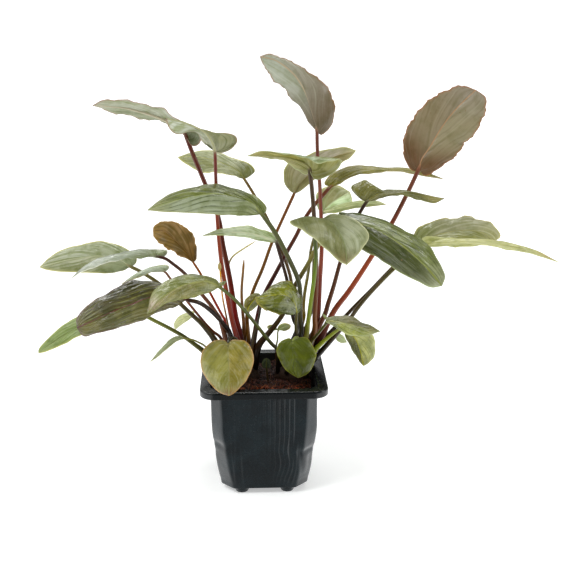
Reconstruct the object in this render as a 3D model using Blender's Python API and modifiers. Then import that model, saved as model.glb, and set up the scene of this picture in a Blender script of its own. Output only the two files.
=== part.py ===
"""Lagenandra in a square nursery pot: pot, soil, two rhizome crowns and every leaf as a solid.

Row frame in metres: origin at the centre of the pot's underside, pot sides along X and Y,
+Z up, front (the side in the photograph) towards -Y. Leaf positions are read from the
photograph as pixels and set in space by the depth Y given for each leaf, in millimetres.
"""
import math

import bmesh
import bpy
import numpy as np
from mathutils import Vector

MM = 0.001
GAP = 0.3

# Photograph: where the camera stood for a 90 mm pot rim, in millimetres and degrees.
PHOTO_SIZE = 570.0
PHOTO_FOCAL = 880.0
CAMERA = (-9.5, -608.0, 316.0)
CAMERA_PITCH = 15.41
CAMERA_TURN = 2.4

# Pot, a thermoformed square pot of the 9 cm kind.
POT_HEIGHT = 84.0
RIM_WIDTH = 90.0
RIM_CORNER = 11.0
LIP_HEIGHT = 5.2
LIP_WALL = 1.5
FLANGE = 1.3
BODY_TOP_CHAMFER = 7.0
BODY_BASE_CHAMFER = 9.4
POT_WALL = 1.1
FLOOR_THICK = 1.4
BASE_LIFT = 4.2
PLATE_WIDTH = 38.0
PLATE_CHAMFER = 6.0
FOOT_X = 16.5
FOOT_Y = 25.2
FOOT_RADIUS = (4.8, 6.3)
FOOT_SIDES = 12
FOOT_SUNK = 0.6
DRAIN_RADIUS = 3.2
DRAIN_OFFSET = 10.0
DRAIN_SIDES = 8
EDGE_ROUND = 1.2
CHAMFER_INSET = 0.6
CUT_PAST = 1.0

# Width of the body over its flat sides at rising heights: the walls bulge a little.
BODY_PROFILE = (
    (BASE_LIFT, 63.0),
    (9.0, 64.4),
    (16.0, 67.6),
    (36.0, 72.6),
    (53.0, 75.2),
    (78.8, 75.6),
)

# Soil fills the pot to a few millimetres under the rim.
SOIL_TOP = 76.5
SOIL_STEPS = 9
SOIL_BUMP = 1.3
SOIL_WAVES = (0.31, 0.27, 0.55, 0.2)
SOIL_ROOTED = 4.0
SOIL_SHOULDER = 2.5
SOIL_MARGIN = 5.0

# Two creeping rhizomes at soil level carry the leaves.
CROWNS = {
    "left": (-15.0, 3.0, 78.0),
    "right": (21.0, 4.0, 78.5),
}
CROWN_SIZE = (12.5, 10.5, 9.0)
SLOT_STEP_X = 4.2
SLOT_STEP_Y = 4.2
SLOT_FRONT = -8.0
ROOT_DEPTH = 0.72

# Leaves.
BLADE_THICK = 0.8
BLADE_SWELL = 0.7
BLADE_SMALL = 25.0
BLADE_MIDDLE = 50.0
STEM_SAMPLE = 3.0
STEM_KNOTS = 12
STEM_LEAST = 5
STEM_BOW = 1.2
STEM_ROOT_PULL = 0.9
STEM_TAPER = 1.5
STEM_LONG = 60.0
STEM_SECTIONS = (5, 7)

# Petioles slide apart in depth until this much is free between them.
STEM_CLEAR = 0.8
SETTLE_ROUNDS = 200
SETTLE_NEAR = 5.0
SETTLE_PUSH = 0.3
SETTLE_STEP = 1.0
SETTLE_SOFT = (0.15, 0.22, 0.26, 0.22, 0.15)
LOBE_SHARE = 0.24
KEEL_SHARES = (0.12, 0.14, 0.10, 0.16, 0.18)
KEEL_DROP = 0.3
CURVE_STEPS = 9

# Merge distances in metres.
MERGE_BLADE = 0.00002
MERGE_TUBE = 0.00001
MERGE_LAST = 0.000002

# Each leaf: where it is rooted, petiole radius at root and joint, depth Y of joint and tip,
# how far each edge stands behind (+) or before (-) the midrib, then pixels of the petiole
# from the joint down, of the midrib from the joint to the tip and of both edges.
LEAVES = {
    "leaf_upper_left": dict(
        root=("left", 0, 2), radius=(2.36, 1.57), depth=(28, 8), lean=(-9, 9),
        stem=[(185, 133), (190, 147), (205.5, 184.6), (218, 215), (222, 240), (230, 280),
              (236, 320), (240, 338)],
        rib=[(174, 123), (160, 116), (143, 111), (120, 107), (92.5, 105.6)],
        side_a=[(192, 146), (200, 143), (201, 134), (190, 126), (174, 119), (162, 107), (143, 104),
                (128, 101), (105, 99.5)],
        side_b=[(182, 132), (172, 127), (164, 123), (155, 121), (139, 117), (131, 117),
                (117, 114), (103, 109)]),
    "leaf_upper_left_front": dict(
        root=("left", 0, 1), radius=(2.15, 1.2), depth=(-6, -54), lean=(12, 3),
        stem=[(215, 152), (216, 185), (217, 215), (221, 260), (228, 300), (232, 320), (237, 338)],
        rib=[(212, 142), (205, 132), (193, 126), (180, 121), (166, 118.5)],
        side_a=[(222, 153), (231, 149), (236.6, 140), (233, 134.5), (216, 131.5), (200, 129), (182, 122)],
        side_b=[(211, 147), (203, 143), (198, 135), (191, 131), (176, 134), (169, 128)]),
    "leaf_upper_left_back": dict(
        root=("right", -1, 2), radius=(1.72, 1.08), depth=(60, 84), lean=(8, -8),
        stem=[(244, 178.5), (254, 194.6), (268, 220), (280, 248), (290, 275), (295, 315), (299, 337)],
        rib=[(238, 171), (222, 163), (200, 157), (177.7, 157.3)],
        side_a=[(250, 176), (255, 171), (251, 165), (243, 161), (231, 157), (208, 150), (190, 153)],
        side_b=[(239, 178), (235, 176), (223, 173), (206, 173), (194, 169), (181.5, 161)]),
    "leaf_long_left": dict(
        root=("right", -1, 1), radius=(2.07, 1.62), depth=(-20, -36), lean=(13, -5),
        stem=[(262, 214), (276, 234), (288, 257), (298, 279), (300, 291), (300, 315), (301, 333)],
        rib=[(252, 203), (235, 197), (216, 194), (190, 197), (165, 204), (147.5, 210.3)],
        side_a=[(265, 213), (266.4, 207), (258, 198), (248, 193), (235, 188), (223, 186), (206, 185),
                (181, 190), (160, 200)],
        side_b=[(256, 215), (240, 215), (220, 214.5), (190, 213), (165, 212)]),
    "leaf_top": dict(
        root=("right", 0, 3), radius=(2.13, 1.25), depth=(4, 14), lean=(4, 8),
        stem=[(317, 131), (317.7, 160), (319.5, 180), (321, 216), (321.9, 248), (320.5, 270), (317.7, 319),
              (314, 333)],
        rib=[(313, 118), (305.6, 94), (299, 81), (290, 70.5), (275.6, 60.5), (260, 56.5)],
        side_a=[(321, 135), (329, 129), (333, 121.5), (334.6, 106), (328, 87), (318, 79), (302, 67),
                (289.6, 61), (270.5, 54)],
        side_b=[(314, 127), (305.6, 112.6), (295, 102), (283, 88), (273, 79), (264, 66)]),
    "leaf_centre_pale": dict(
        root=("right", 1, 1), radius=(1.98, 1.44), depth=(-18, -42), lean=(-6, 5),
        stem=[(309.6, 168), (312, 190), (314, 216), (315.5, 246), (316.4, 276), (315.4, 300), (314, 333)],
        rib=[(304, 163), (293, 158), (280, 155.5), (264, 154), (247.6, 156)],
        side_a=[(315, 179.6), (329, 175.5), (339, 168), (341, 161), (332, 160), (318, 161), (302, 158.5),
                (280, 152.5), (262, 151)],
        side_b=[(306, 175), (297, 170), (288, 163), (275, 159), (258, 157)]),
    "leaf_centre_drooping": dict(
        root=("right", 0, 1), radius=(1.89, 1.43), depth=(-32, -70), lean=(-4, -10),
        stem=[(322, 219), (317, 228), (314.8, 242), (316, 254), (314.3, 276), (311, 300), (306, 337)],
        rib=[(331, 222), (339, 232), (345, 247), (346.8, 265)],
        side_a=[(331.6, 214), (345.7, 216), (361, 224), (369, 236), (361, 251), (354, 258.5)],
        side_b=[(312, 217.5), (300, 220.5), (289.3, 221), (303, 230), (317.5, 243), (328, 251),
                (339, 261)]),
    "leaf_back_grey": dict(
        root=("left", 1, 3), radius=(1.62, 1.2), depth=(46, 70), lean=(-6, 6),
        stem=[(294.5, 193), (278, 229), (271, 245), (262.5, 269), (252, 294), (247, 320)],
        rib=[(300, 184), (316, 168), (334, 157), (356, 150.5)],
        side_a=[(290, 191), (284, 182), (285, 169), (292, 160), (302.5, 157), (316, 152),
                (329, 149), (345, 147)],
        side_b=[(303, 189), (313, 181), (328, 172), (343, 162), (350, 158)]),
    "leaf_right_back": dict(
        root=("left", 1, 2), radius=(1.85, 1.44), depth=(22, 20), lean=(8, -6),
        stem=[(331, 186), (324, 194), (318, 201), (305, 217), (301, 227), (288, 250), (278, 269),
              (266, 291),
              (259, 309), (255, 333)],
        rib=[(342, 179), (357, 172), (375, 169.5), (396, 169.5), (420, 173), (443, 179)],
        side_a=[(324, 184), (331, 174), (343.5, 168), (350.5, 166), (368, 166), (383.5, 167.5), (408, 169),
                (428, 173)],
        side_b=[(340, 184), (347, 179), (357.5, 175.5), (371.6, 173), (389, 171.5), (408.7, 173),
                (428, 177)]),
    "leaf_right_bronze": dict(
        root=("right", 2, 2), radius=(2.39, 1.54), depth=(12, 20), lean=(3, -3),
        stem=[(419, 168.5), (409, 190), (392, 223), (371.7, 256.4), (349.7, 290), (338, 305), (330.6, 317),
              (319, 341)],
        rib=[(421.7, 159), (430, 147), (440, 130), (450, 116), (462, 103), (476, 90)],
        side_a=[(412.5, 171), (405.5, 161), (403, 147), (406, 131), (414, 116), (425, 104), (433, 97),
                (447, 90), (461.6, 85.5)],
        side_b=[(425, 175.7), (437, 170), (446, 163), (456, 156), (466, 142), (474, 135), (479, 126),
                (485.5, 112), (485, 97)]),
    "leaf_centre_glossy": dict(
        root=("right", -1, 0), radius=(1.54, 1.21), depth=(-20, -34), lean=(9, -3),
        stem=[(297, 313), (296, 326), (297, 340)],
        rib=[(294, 302), (286, 295), (272, 295), (255, 298)],
        side_a=[(301, 308), (300, 295), (296, 286), (289.6, 282), (279, 282), (272, 285), (266, 292)],
        side_b=[(291, 315), (283, 314), (275.6, 313), (265, 310), (257, 303)]),
    "leaf_centre_small": dict(
        root=("left", 1, 0), radius=(1.1, 0.88), depth=(-9, -15), lean=(4, -2),
        stem=[(260, 297), (260, 312), (256, 328), (253, 342)],
        rib=[(255, 299), (250, 305), (247, 312)],
        side_a=[(259, 293.5), (252, 294), (246, 299), (244, 306)],
        side_b=[(260, 302), (256, 307), (251, 311)]),
    "leaf_right_large": dict(
        root=("left", 2, 2), radius=(1.91, 1.56), depth=(-6, -56), lean=(10, -4),
        stem=[(338, 215), (317, 247), (305, 270), (296, 283), (283, 314), (267, 335), (258, 347)],
        rib=[(352, 221), (375, 229), (400, 244), (424, 265), (442, 286)],
        side_a=[(341, 212), (361, 217), (377, 221), (391, 224), (404, 229), (415, 235), (429, 247),
                (437, 257.5), (445, 275)],
        side_b=[(340, 222), (350, 240), (363, 251), (377, 257.5), (391, 266), (402, 274), (419, 282),
                (431, 287.5)]),
    "leaf_right_small_dark": dict(
        root=("right", 1, 2), radius=(2.21, 1.32), depth=(10, -4), lean=(6, -6),
        stem=[(367, 201), (358, 216), (348, 240), (340.3, 262), (338, 270), (332.5, 290), (323.6, 317)],
        rib=[(378, 194), (392, 193), (410, 194), (428, 197.5), (444.5, 198.6)],
        side_a=[(358, 197), (351, 187), (360, 182), (366, 180), (373, 185), (380, 190.5), (388, 190),
                (410, 191), (423, 194), (435, 197)],
        side_b=[(374, 201), (381, 198), (389, 196), (402, 196), (417, 199), (433, 203.5)]),
    "leaf_back_broad": dict(
        root=("right", -1, 3), radius=(1.62, 1.08), depth=(68, 86), lean=(6, -2),
        stem=[(322, 214), (316, 232), (311, 249), (308.6, 270), (304, 298), (303, 320)],
        rib=[(328, 206), (337, 199), (350, 192)],
        side_a=[(318, 208), (316, 195), (325, 187), (338, 185.5)],
        side_b=[(330, 213), (343, 211), (352, 202)]),
    "leaf_back_slender": dict(
        root=("right", 0, 4), radius=(1.32, 0.99), depth=(50, 38), lean=(6, -3),
        stem=[(322, 212), (317, 232), (314, 255), (313, 280), (312, 310)],
        rib=[(338, 208.5), (354, 205), (370, 203.5), (386, 204.5)],
        side_a=[(327.5, 208.6), (338, 205), (352, 202), (375, 200.5)],
        side_b=[(340, 211), (354, 208.5), (366, 207), (376, 206)]),
    "leaf_far_right_wavy": dict(
        root=("right", 1, 3), radius=(1.65, 1.22), depth=(24, 34), lean=(10, -8),
        stem=[(421, 243), (405, 256), (390, 270), (370, 291), (357, 304), (340, 322)],
        rib=[(440, 234), (460, 230), (480, 232), (495, 241)],
        side_a=[(414, 240), (415, 232), (423.5, 224.5), (440, 219.5), (455, 217.5), (475, 217.5),
                (487, 222),
                (499, 230), (500, 237)],
        side_b=[(430, 242), (446, 240), (460, 239), (478, 238)]),
    "leaf_far_right_long": dict(
        root=("right", 2, 3), radius=(1.9, 1.33), depth=(-4, -22), lean=(5, -9),
        stem=[(426, 245), (410, 255.5), (393, 269.5), (372, 291), (360, 305), (348, 321)],
        rib=[(446, 243), (470, 242), (496, 244.5), (520, 249), (540, 254.5), (558, 262)],
        side_a=[(421, 240), (428, 236), (446, 238), (470, 238.5), (487, 240), (510, 243), (535, 250)],
        side_b=[(432, 247), (446, 246.5), (461, 247), (487, 246), (512, 250), (535, 255)]),
    "leaf_far_left": dict(
        root=("left", -2, 2), radius=(2.16, 1.3), depth=(4, 10), lean=(8, -4),
        stem=[(130, 266.5), (139, 270.6), (160, 284.3), (177.5, 301), (191, 314), (202, 324), (214, 339)],
        rib=[(118, 259), (98, 256), (72, 259), (39.6, 267.3)],
        side_a=[(136, 263), (136, 256), (129, 250.4), (119, 245), (102, 241.5), (88, 243),
                (67, 248), (50, 257)],
        side_b=[(125, 270), (119, 271.5), (105, 273.5), (84, 272.5), (63, 272), (47, 270)]),
    "leaf_left_silver": dict(
        root=("left", -2, 1), radius=(2.04, 1.2), depth=(-18, -42), lean=(11, -9),
        stem=[(157, 256.5), (165, 258), (172, 263), (186, 274.5), (201.6, 294), (213, 308), (221, 322)],
        rib=[(145, 253), (125, 255), (105, 260), (88, 267), (72, 278)],
        side_a=[(165, 256), (167.5, 250.6), (160, 249), (147.5, 249.6), (129, 251.5), (105, 257),
                (84, 266.6)],
        side_b=[(155, 257), (145, 256), (126, 258), (105, 264), (84, 271)]),
    "leaf_left_pale_small": dict(
        root=("left", -2, 3), radius=(1.26, 0.92), depth=(-4, -10), lean=(6, -6),
        stem=[(165, 271), (171, 279.4), (188.3, 302.5), (209.5, 328), (221, 338)],
        rib=[(156, 269), (140, 273.5), (122, 284)],
        side_a=[(169, 268), (166, 264.5), (152, 267), (137, 273)],
        side_b=[(160, 272), (150, 273), (135, 279)]),
    "leaf_left_dark": dict(
        root=("left", -1, 1), radius=(1.9, 1.5), depth=(-22, -44), lean=(8, -4),
        stem=[(187, 300), (199, 302.5), (210, 310), (221, 321), (229.6, 333)],
        rib=[(172, 293), (148, 298), (133, 304), (119, 309), (99, 318), (77, 328)],
        side_a=[(186, 293), (176, 287), (160.5, 284), (139, 279.4), (130, 281), (119, 287), (104, 294.5),
                (93, 301), (77.6, 316.5)],
        side_b=[(178, 301), (165.6, 305), (159, 311), (148, 317), (126, 326), (111, 330),
                (97, 333), (84, 336.6)]),
    "leaf_left_glossy": dict(
        root=("right", -3, 1), radius=(1.57, 1.21), depth=(-44, -68), lean=(9, -4),
        stem=[(219, 286.5), (233.5, 298), (245, 311), (253, 320.5), (266, 337), (278, 351)],
        rib=[(205, 281), (190, 283), (172, 291), (158, 302), (147, 314)],
        side_a=[(227, 281), (217, 283), (211, 277), (200, 275), (190, 275), (179, 276), (169, 279),
                (159.5, 286), (151, 296)],
        side_b=[(214, 288.5), (209, 290), (200, 293.4), (192, 297.6), (179, 300), (166.5, 303),
                (156, 310)]),
    "leaf_left_bronze": dict(
        root=("left", -1, 3), radius=(1.17, 0.9), depth=(30, 48), lean=(3, -3),
        stem=[(193, 262), (201, 274.5), (209.4, 291.5), (226, 322.5)],
        rib=[(186, 251), (175, 240), (164, 231), (153, 231)],
        side_a=[(196.5, 259), (196.7, 249), (196, 242), (191, 232), (185, 227), (178, 223), (168, 221),
                (160.5, 222), (154, 226)],
        side_b=[(185, 258), (177, 254), (165, 247), (159, 243), (154, 237)]),
    "leaf_inner_left": dict(
        root=("right", -2, 2), radius=(1.72, 1.26), depth=(6, -24), lean=(5, -4),
        stem=[(276, 241), (280, 255), (285, 272), (287.5, 282), (292.5, 315), (297, 330)],
        rib=[(262, 236), (245, 232.5), (224, 232.5), (203, 235.6)],
        side_a=[(277, 237), (274.5, 234), (266, 230.5), (260, 229.5), (248, 226), (236, 226.5), (217, 230)],
        side_b=[(271, 242.5), (262, 241), (254, 239), (240, 237), (225, 235.5)]),
    "leaf_front_left_heart": dict(
        root=("left", 0, 0), radius=(1.3, 0.9), depth=(-47, -54), lean=(3, 3),
        stem=[(228, 345), (228.5, 340), (233, 337), (238, 341), (241, 350)],
        rib=[(228.5, 358), (229, 372), (229, 385), (228.8, 395.8)],
        side_a=[(224, 340), (213, 341), (203, 350), (201, 358), (201, 365), (203, 373), (208, 381),
                (219, 392)],
        side_b=[(232, 340), (239, 340), (245, 341), (250, 346), (253.5, 356), (253, 366), (249, 375),
                (245, 382), (238.5, 389), (233, 394)]),
    "leaf_front_right_heart": dict(
        root=("right", 0, 0), radius=(1.2, 0.9), depth=(-20, -27), lean=(2, 2),
        stem=[(292.5, 342), (294, 338), (298, 337), (301, 346)],
        rib=[(293.5, 352), (295.5, 363), (298.5, 378)],
        side_a=[(289, 338), (280, 342), (277, 348), (277, 354), (282, 364.5), (286, 370), (292.5, 375)],
        side_b=[(297, 338.5), (304.5, 337), (309, 340), (315, 350), (316.4, 355), (312, 368), (307, 374)]),
    "leaf_low_right_glossy": dict(
        root=("right", 1, 0), radius=(1.49, 1.1), depth=(-20, -28), lean=(7, -5),
        stem=[(328, 321), (320, 331), (312, 340.5)],
        rib=[(338, 322), (352, 325), (366, 329), (380, 331.5)],
        side_a=[(322, 313), (327, 317), (336, 316), (345, 316), (354, 317), (361, 322), (370, 325)],
        side_b=[(325.5, 321.5), (333, 326), (341.5, 331.5), (348, 335), (357, 336), (367, 336)]),
    "leaf_low_right_hanging": dict(
        root=("right", 2, 1), radius=(1.49, 1.1), depth=(0, 2), lean=(4, 6),
        stem=[(348, 332), (344, 327), (339, 329), (325, 340), (315, 349.5)],
        rib=[(355, 338), (360, 350), (363.5, 366)],
        side_a=[(344.6, 334), (348.5, 343), (354, 353), (360, 362)],
        side_b=[(356, 329), (366, 330), (373, 336), (375.6, 346), (374, 356), (369, 363)]),
    "leaf_low_right_tiny": dict(
        root=("right", 1, 4), radius=(0.8, 0.6), depth=(28, 30), lean=(3, -2),
        stem=[(336, 336), (328, 343), (321, 350)],
        rib=[(341, 338), (347, 342.5)],
        side_a=[(338, 333.5), (343, 335.5)],
        side_b=[(336.5, 340), (341, 343)]),
    "leaf_far_left_low": dict(
        root=("left", -3, 1), radius=(1.62, 1.38), depth=(-4, -14), lean=(5, -7),
        stem=[(144, 315), (155, 321), (167, 327), (183, 336), (194, 344), (202, 350)],
        rib=[(125, 312), (100, 318), (70, 332), (38.6, 353.3)],
        side_a=[(147, 310), (138, 305), (120, 303), (100, 306), (75, 318), (56, 331), (40, 347)],
        side_b=[(138, 319), (120, 322), (100, 329), (78, 337), (64, 344), (47, 351.5)]),
    "leaf_back_pale_small": dict(
        root=("left", -3, 3), radius=(0.92, 0.69), depth=(26, 30), lean=(4, -2),
        stem=[(193, 316), (200, 322), (212, 334)],
        rib=[(186, 318), (180, 323), (175, 330)],
        side_a=[(194, 311), (186, 313), (178, 317), (174, 324)],
        side_b=[(189, 320), (184, 323), (179, 327)]),
    "leaf_low_left_thin": dict(
        root=("left", -1, 0), radius=(0.88, 0.66), depth=(-10, -14), lean=(5, -5),
        stem=[(183, 338), (194, 340), (205, 346)],
        rib=[(176, 339.5), (169, 344), (161, 352), (150.4, 362)],
        side_a=[(180, 336), (174, 337), (166, 343), (158, 352)],
        side_b=[(180, 340), (174, 343), (167, 349), (159, 356)]),
    "leaf_thread_stem": dict(
        root=("left", -1, 2), radius=(0.9, 0.6), depth=(-6, -7), lean=(2, -2),
        stem=[(220, 271), (221.5, 285), (222.6, 298), (228, 325)],
        rib=[(219.3, 267), (219.5, 262)],
        side_a=[(217.8, 268), (218.2, 264.5)],
        side_b=[(221.4, 268), (220.9, 264.5)]),
    "leaf_shadow_small": dict(
        root=("soil", 4.0, -7.0), radius=(0.8, 0.7), depth=(-9, -10), lean=(1, 1),
        stem=[(266.5, 367.5), (266.8, 371)],
        rib=[(266.5, 363), (266.5, 358)],
        side_a=[(263.5, 368), (262, 364), (263.5, 359.5)],
        side_b=[(269.5, 368), (271, 364), (269.5, 359.5)]),
    "seedling": dict(
        root=("soil", 10.5, 17.0), radius=(0.8, 0.6), depth=(18, 17), lean=(2, -2),
        stem=[(277.5, 330), (277.7, 339), (276, 347)],
        rib=[(284, 326.5), (291, 326)],
        side_a=[(279, 325.5), (284, 323), (289, 324)],
        side_b=[(281, 330.5), (285, 331), (289.5, 329)],
        twin=dict(
            depth=(18, 19), lean=(1, -1), rib=[(272, 328), (266.8, 327)],
            side_a=[(274, 325), (269, 325)],
            side_b=[(274, 330.5), (269, 330)])),
}

# The unfurled shoot and the thread leaf are rolled up and have no open blade.
SHOOT = dict(
    root=("left", 0, 4), radius=(1.7, 0.9), depth=(0, 0),
    stem=[(244, 259), (243, 272), (241.6, 291), (242.5, 310), (244, 326)])
THREAD_LEAF = dict(
    root=("left", 1, 4), radius=(0.8, 0.35), depth=(22, 22),
    stem=[(256, 241), (243, 249), (230, 259.5), (229, 275), (232, 300), (238, 325)])

MATERIALS = {
    "pot": ((0.012, 0.014, 0.015, 1.0), 0.38),
    "soil": ((0.095, 0.035, 0.015, 1.0), 0.95),
    "crown": ((0.09, 0.05, 0.025, 1.0), 0.8),
    "leaf_green": ((0.18, 0.24, 0.10, 1.0), 0.42),
    "leaf_bronze": ((0.20, 0.13, 0.07, 1.0), 0.45),
    "leaf_dark": ((0.055, 0.05, 0.022, 1.0), 0.35),
    "leaf_pale": ((0.36, 0.40, 0.25, 1.0), 0.5),
    "petiole": ((0.14, 0.035, 0.02, 1.0), 0.4),
}
BRONZE = ("leaf_top", "leaf_right_bronze", "leaf_left_bronze", "leaf_front_left_heart")
DARK = ("leaf_left_dark", "leaf_shadow_small")
PALE = ("leaf_upper_left", "leaf_centre_pale", "leaf_left_silver", "leaf_left_pale_small",
        "leaf_back_grey", "leaf_far_right_wavy", "leaf_back_pale_small", "leaf_low_left_thin", "seedling")


def clear_scene():
    for obj in list(bpy.data.objects):
        bpy.data.objects.remove(obj)


def new_collection(name):
    collection = bpy.data.collections.new(name)
    bpy.context.scene.collection.children.link(collection)
    return collection


def make_material(name):
    colour, roughness = MATERIALS[name]
    material = bpy.data.materials.new(name)
    material.use_nodes = True
    shader = material.node_tree.nodes["Principled BSDF"]
    shader.inputs["Base Color"].default_value = colour
    shader.inputs["Roughness"].default_value = roughness
    shader.inputs["Metallic"].default_value = 0.0
    material.diffuse_color = colour
    return material


def at(pixel, depth):
    """Point in millimetres that shows at this pixel of the photograph and has Y = depth."""
    right = (pixel[0] - PHOTO_SIZE / 2) / PHOTO_FOCAL
    up = (PHOTO_SIZE / 2 - pixel[1]) / PHOTO_FOCAL
    pitch = math.radians(CAMERA_PITCH)
    turn = math.radians(CAMERA_TURN)
    forward = math.cos(pitch) + up * math.sin(pitch)
    rise = up * math.cos(pitch) - math.sin(pitch)
    ray_x = right * math.cos(turn) + forward * math.sin(turn)
    ray_y = forward * math.cos(turn) - right * math.sin(turn)
    reach = (depth - CAMERA[1]) / ray_y
    return np.array((CAMERA[0] + ray_x * reach, depth, CAMERA[2] + rise * reach))


def ray_step(point, push):
    """Move a point along its line of sight by about push millimetres in depth."""
    camera = np.array(CAMERA)
    reach = point[:, 1] - camera[1]
    return camera + (point - camera) * (1.0 + push / reach)[:, None]


def spread(points, count):
    """Evenly spaced points on a smooth curve through the given points."""
    points = np.asarray(points, dtype=float)
    before = np.vstack([2 * points[0] - points[1], points[:-1]])
    after = np.vstack([points[1:], 2 * points[-1] - points[-2]])
    after_next = np.vstack([after[1:], 2 * after[-1] - points[-1]])
    fine = []
    for i in range(len(points) - 1):
        for t in np.linspace(0.0, 1.0, CURVE_STEPS)[:-1]:
            fine.append(0.5 * ((2 * points[i]) + (after[i] - before[i]) * t
                               + (2 * before[i] - 5 * points[i] + 4 * after[i] - after_next[i]) * t ** 2
                               + (3 * points[i] - before[i] - 3 * after[i] + after_next[i]) * t ** 3))
    fine.append(points[-1])
    fine = np.array(fine)
    steps = np.linalg.norm(np.diff(fine, axis=0), axis=1)
    length = np.concatenate([[0.0], np.cumsum(steps)])
    where = np.asarray(count) * length[-1] if np.ndim(count) else np.linspace(0.0, length[-1], count)
    return np.stack([np.interp(where, length, fine[:, k]) for k in range(points.shape[1])], axis=1)


def root_point(root):
    place, a, b = root
    if place == "soil":
        return np.array((a, b, SOIL_TOP - SOIL_ROOTED))
    centre = CROWNS[place]
    offset_x = (a + 0.5 * (b % 2)) * SLOT_STEP_X
    offset_y = SLOT_FRONT + b * SLOT_STEP_Y
    inside = max(0.05, 1.0 - (offset_x / CROWN_SIZE[0]) ** 2 - (offset_y / CROWN_SIZE[1]) ** 2)
    rise = ROOT_DEPTH * CROWN_SIZE[2] * math.sqrt(inside)
    return np.array((centre[0] + offset_x, centre[1] + offset_y, centre[2] + rise))


def stem_path(spec):
    """Centre line of a petiole from the joint down to its root, in millimetres."""
    root = root_point(spec["root"])
    seen = spread(spec["stem"], STEM_KNOTS)
    share = np.linspace(0.0, 1.0, STEM_KNOTS) ** STEM_BOW
    joint_depth = spec["depth"][0]
    low_depth = joint_depth + (root[1] - joint_depth) * STEM_ROOT_PULL
    depths = joint_depth + (low_depth - joint_depth) * share
    points = [at(pixel, depth) for pixel, depth in zip(seen, depths)]
    points.append(root)
    points = np.array(points)
    length = np.linalg.norm(np.diff(points, axis=0), axis=1).sum()
    return spread(points, max(STEM_LEAST, int(length / STEM_SAMPLE)))


def stem_radii(spec, count):
    share = np.linspace(0.0, 1.0, count)
    low, high = spec["radius"]
    return high + (low - high) * share ** STEM_TAPER


def settle(paths, radii):
    """Slide petioles along their lines of sight until none runs through another."""
    names = list(paths)
    for _ in range(SETTLE_ROUNDS):
        push = {name: np.zeros(len(paths[name])) for name in names}
        busy = False
        for i, first in enumerate(names):
            for second in names[i + 1:]:
                a = paths[first]
                b = paths[second]
                apart = np.maximum(a.min(0) - b.max(0), b.min(0) - a.max(0))
                if (apart > SETTLE_NEAR).any():
                    continue
                delta = a[:, None, :] - b[None, :, :]
                distance = np.sqrt((delta ** 2).sum(-1))
                wanted = radii[first][:, None] + radii[second][None, :] + STEM_CLEAR
                short = wanted - distance
                short[:, -1] = np.minimum(short[:, -1], 0.0)
                short[-1, :] = np.minimum(short[-1, :], 0.0)
                if short.max() <= 0.0:
                    continue
                busy = True
                for p, q in zip(*np.where(short > 0.0)):
                    sign = 1.0 if delta[p, q, 1] >= 0.0 else -1.0
                    move = SETTLE_PUSH * short[p, q] * sign
                    push[first][p] += move
                    push[second][q] -= move
        if not busy:
            break
        for name in names:
            move = np.clip(push[name], -SETTLE_STEP, SETTLE_STEP)
            move[0] = 0.0
            move[-1] = 0.0
            soft = np.convolve(np.pad(move, 2), SETTLE_SOFT, mode="valid")
            soft[0] = 0.0
            soft[-1] = 0.0
            paths[name] = ray_step(paths[name], soft)
    return paths


def blade_sheet(spec, rows, columns):
    """Grid of points of a blade's middle surface: first the lobes, then on to the tip."""
    joint_pixel = spec["stem"][0]
    rib_pixels = [joint_pixel] + spec["rib"]
    share = np.linspace(0.0, 1.0, rows + 1)
    along = np.clip((share - LOBE_SHARE) / (1.0 - LOBE_SHARE), 0.0, 1.0)
    rib = spread(rib_pixels, along)
    depth_rib = spec["depth"][0] + (spec["depth"][1] - spec["depth"][0]) * along
    sides = []
    for edge, lean in ((spec["side_a"], spec["lean"][0]), (spec["side_b"], spec["lean"][1])):
        line = spread([joint_pixel] + edge + [rib_pixels[-1]], share)
        swell = np.sin(np.pi * np.clip(share, 0.0, 1.0)).clip(0.0) ** BLADE_SWELL
        strips = []
        for i in range(rows + 1):
            middle = at(rib[i], depth_rib[i])
            rim = at(line[i], depth_rib[i] + lean * swell[i])
            strips.append([middle + (rim - middle) * k / columns for k in range(columns + 1)])
        sides.append(strips)
    return sides


def keel_point(spec, share, radius):
    """Point just under the midrib, part of the way from the joint to the tip."""
    rib = spread([spec["stem"][0]] + spec["rib"], (0.0, share))
    depth = spec["depth"][0] + (spec["depth"][1] - spec["depth"][0]) * share
    return at(rib[1], depth) - np.array((0.0, 0.0, KEEL_DROP * radius))


def blade_mesh(name, spec, rows, columns):
    sides = blade_sheet(spec, rows, columns)
    bm = bmesh.new()
    for number, strips in enumerate(sides):
        grid = [[bm.verts.new(Vector(p) * MM) for p in strip] for strip in strips]
        for i in range(rows):
            for k in range(columns):
                corners = [grid[i][k], grid[i + 1][k], grid[i + 1][k + 1], grid[i][k + 1]]
                if number:
                    corners.reverse()
                bm.faces.new(corners)
    bmesh.ops.remove_doubles(bm, verts=bm.verts, dist=MERGE_BLADE)
    bmesh.ops.dissolve_degenerate(bm, edges=bm.edges, dist=MERGE_TUBE)
    bmesh.ops.recalc_face_normals(bm, faces=bm.faces)
    mesh = bpy.data.meshes.new(name)
    bm.to_mesh(mesh)
    bm.free()
    return mesh


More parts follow.
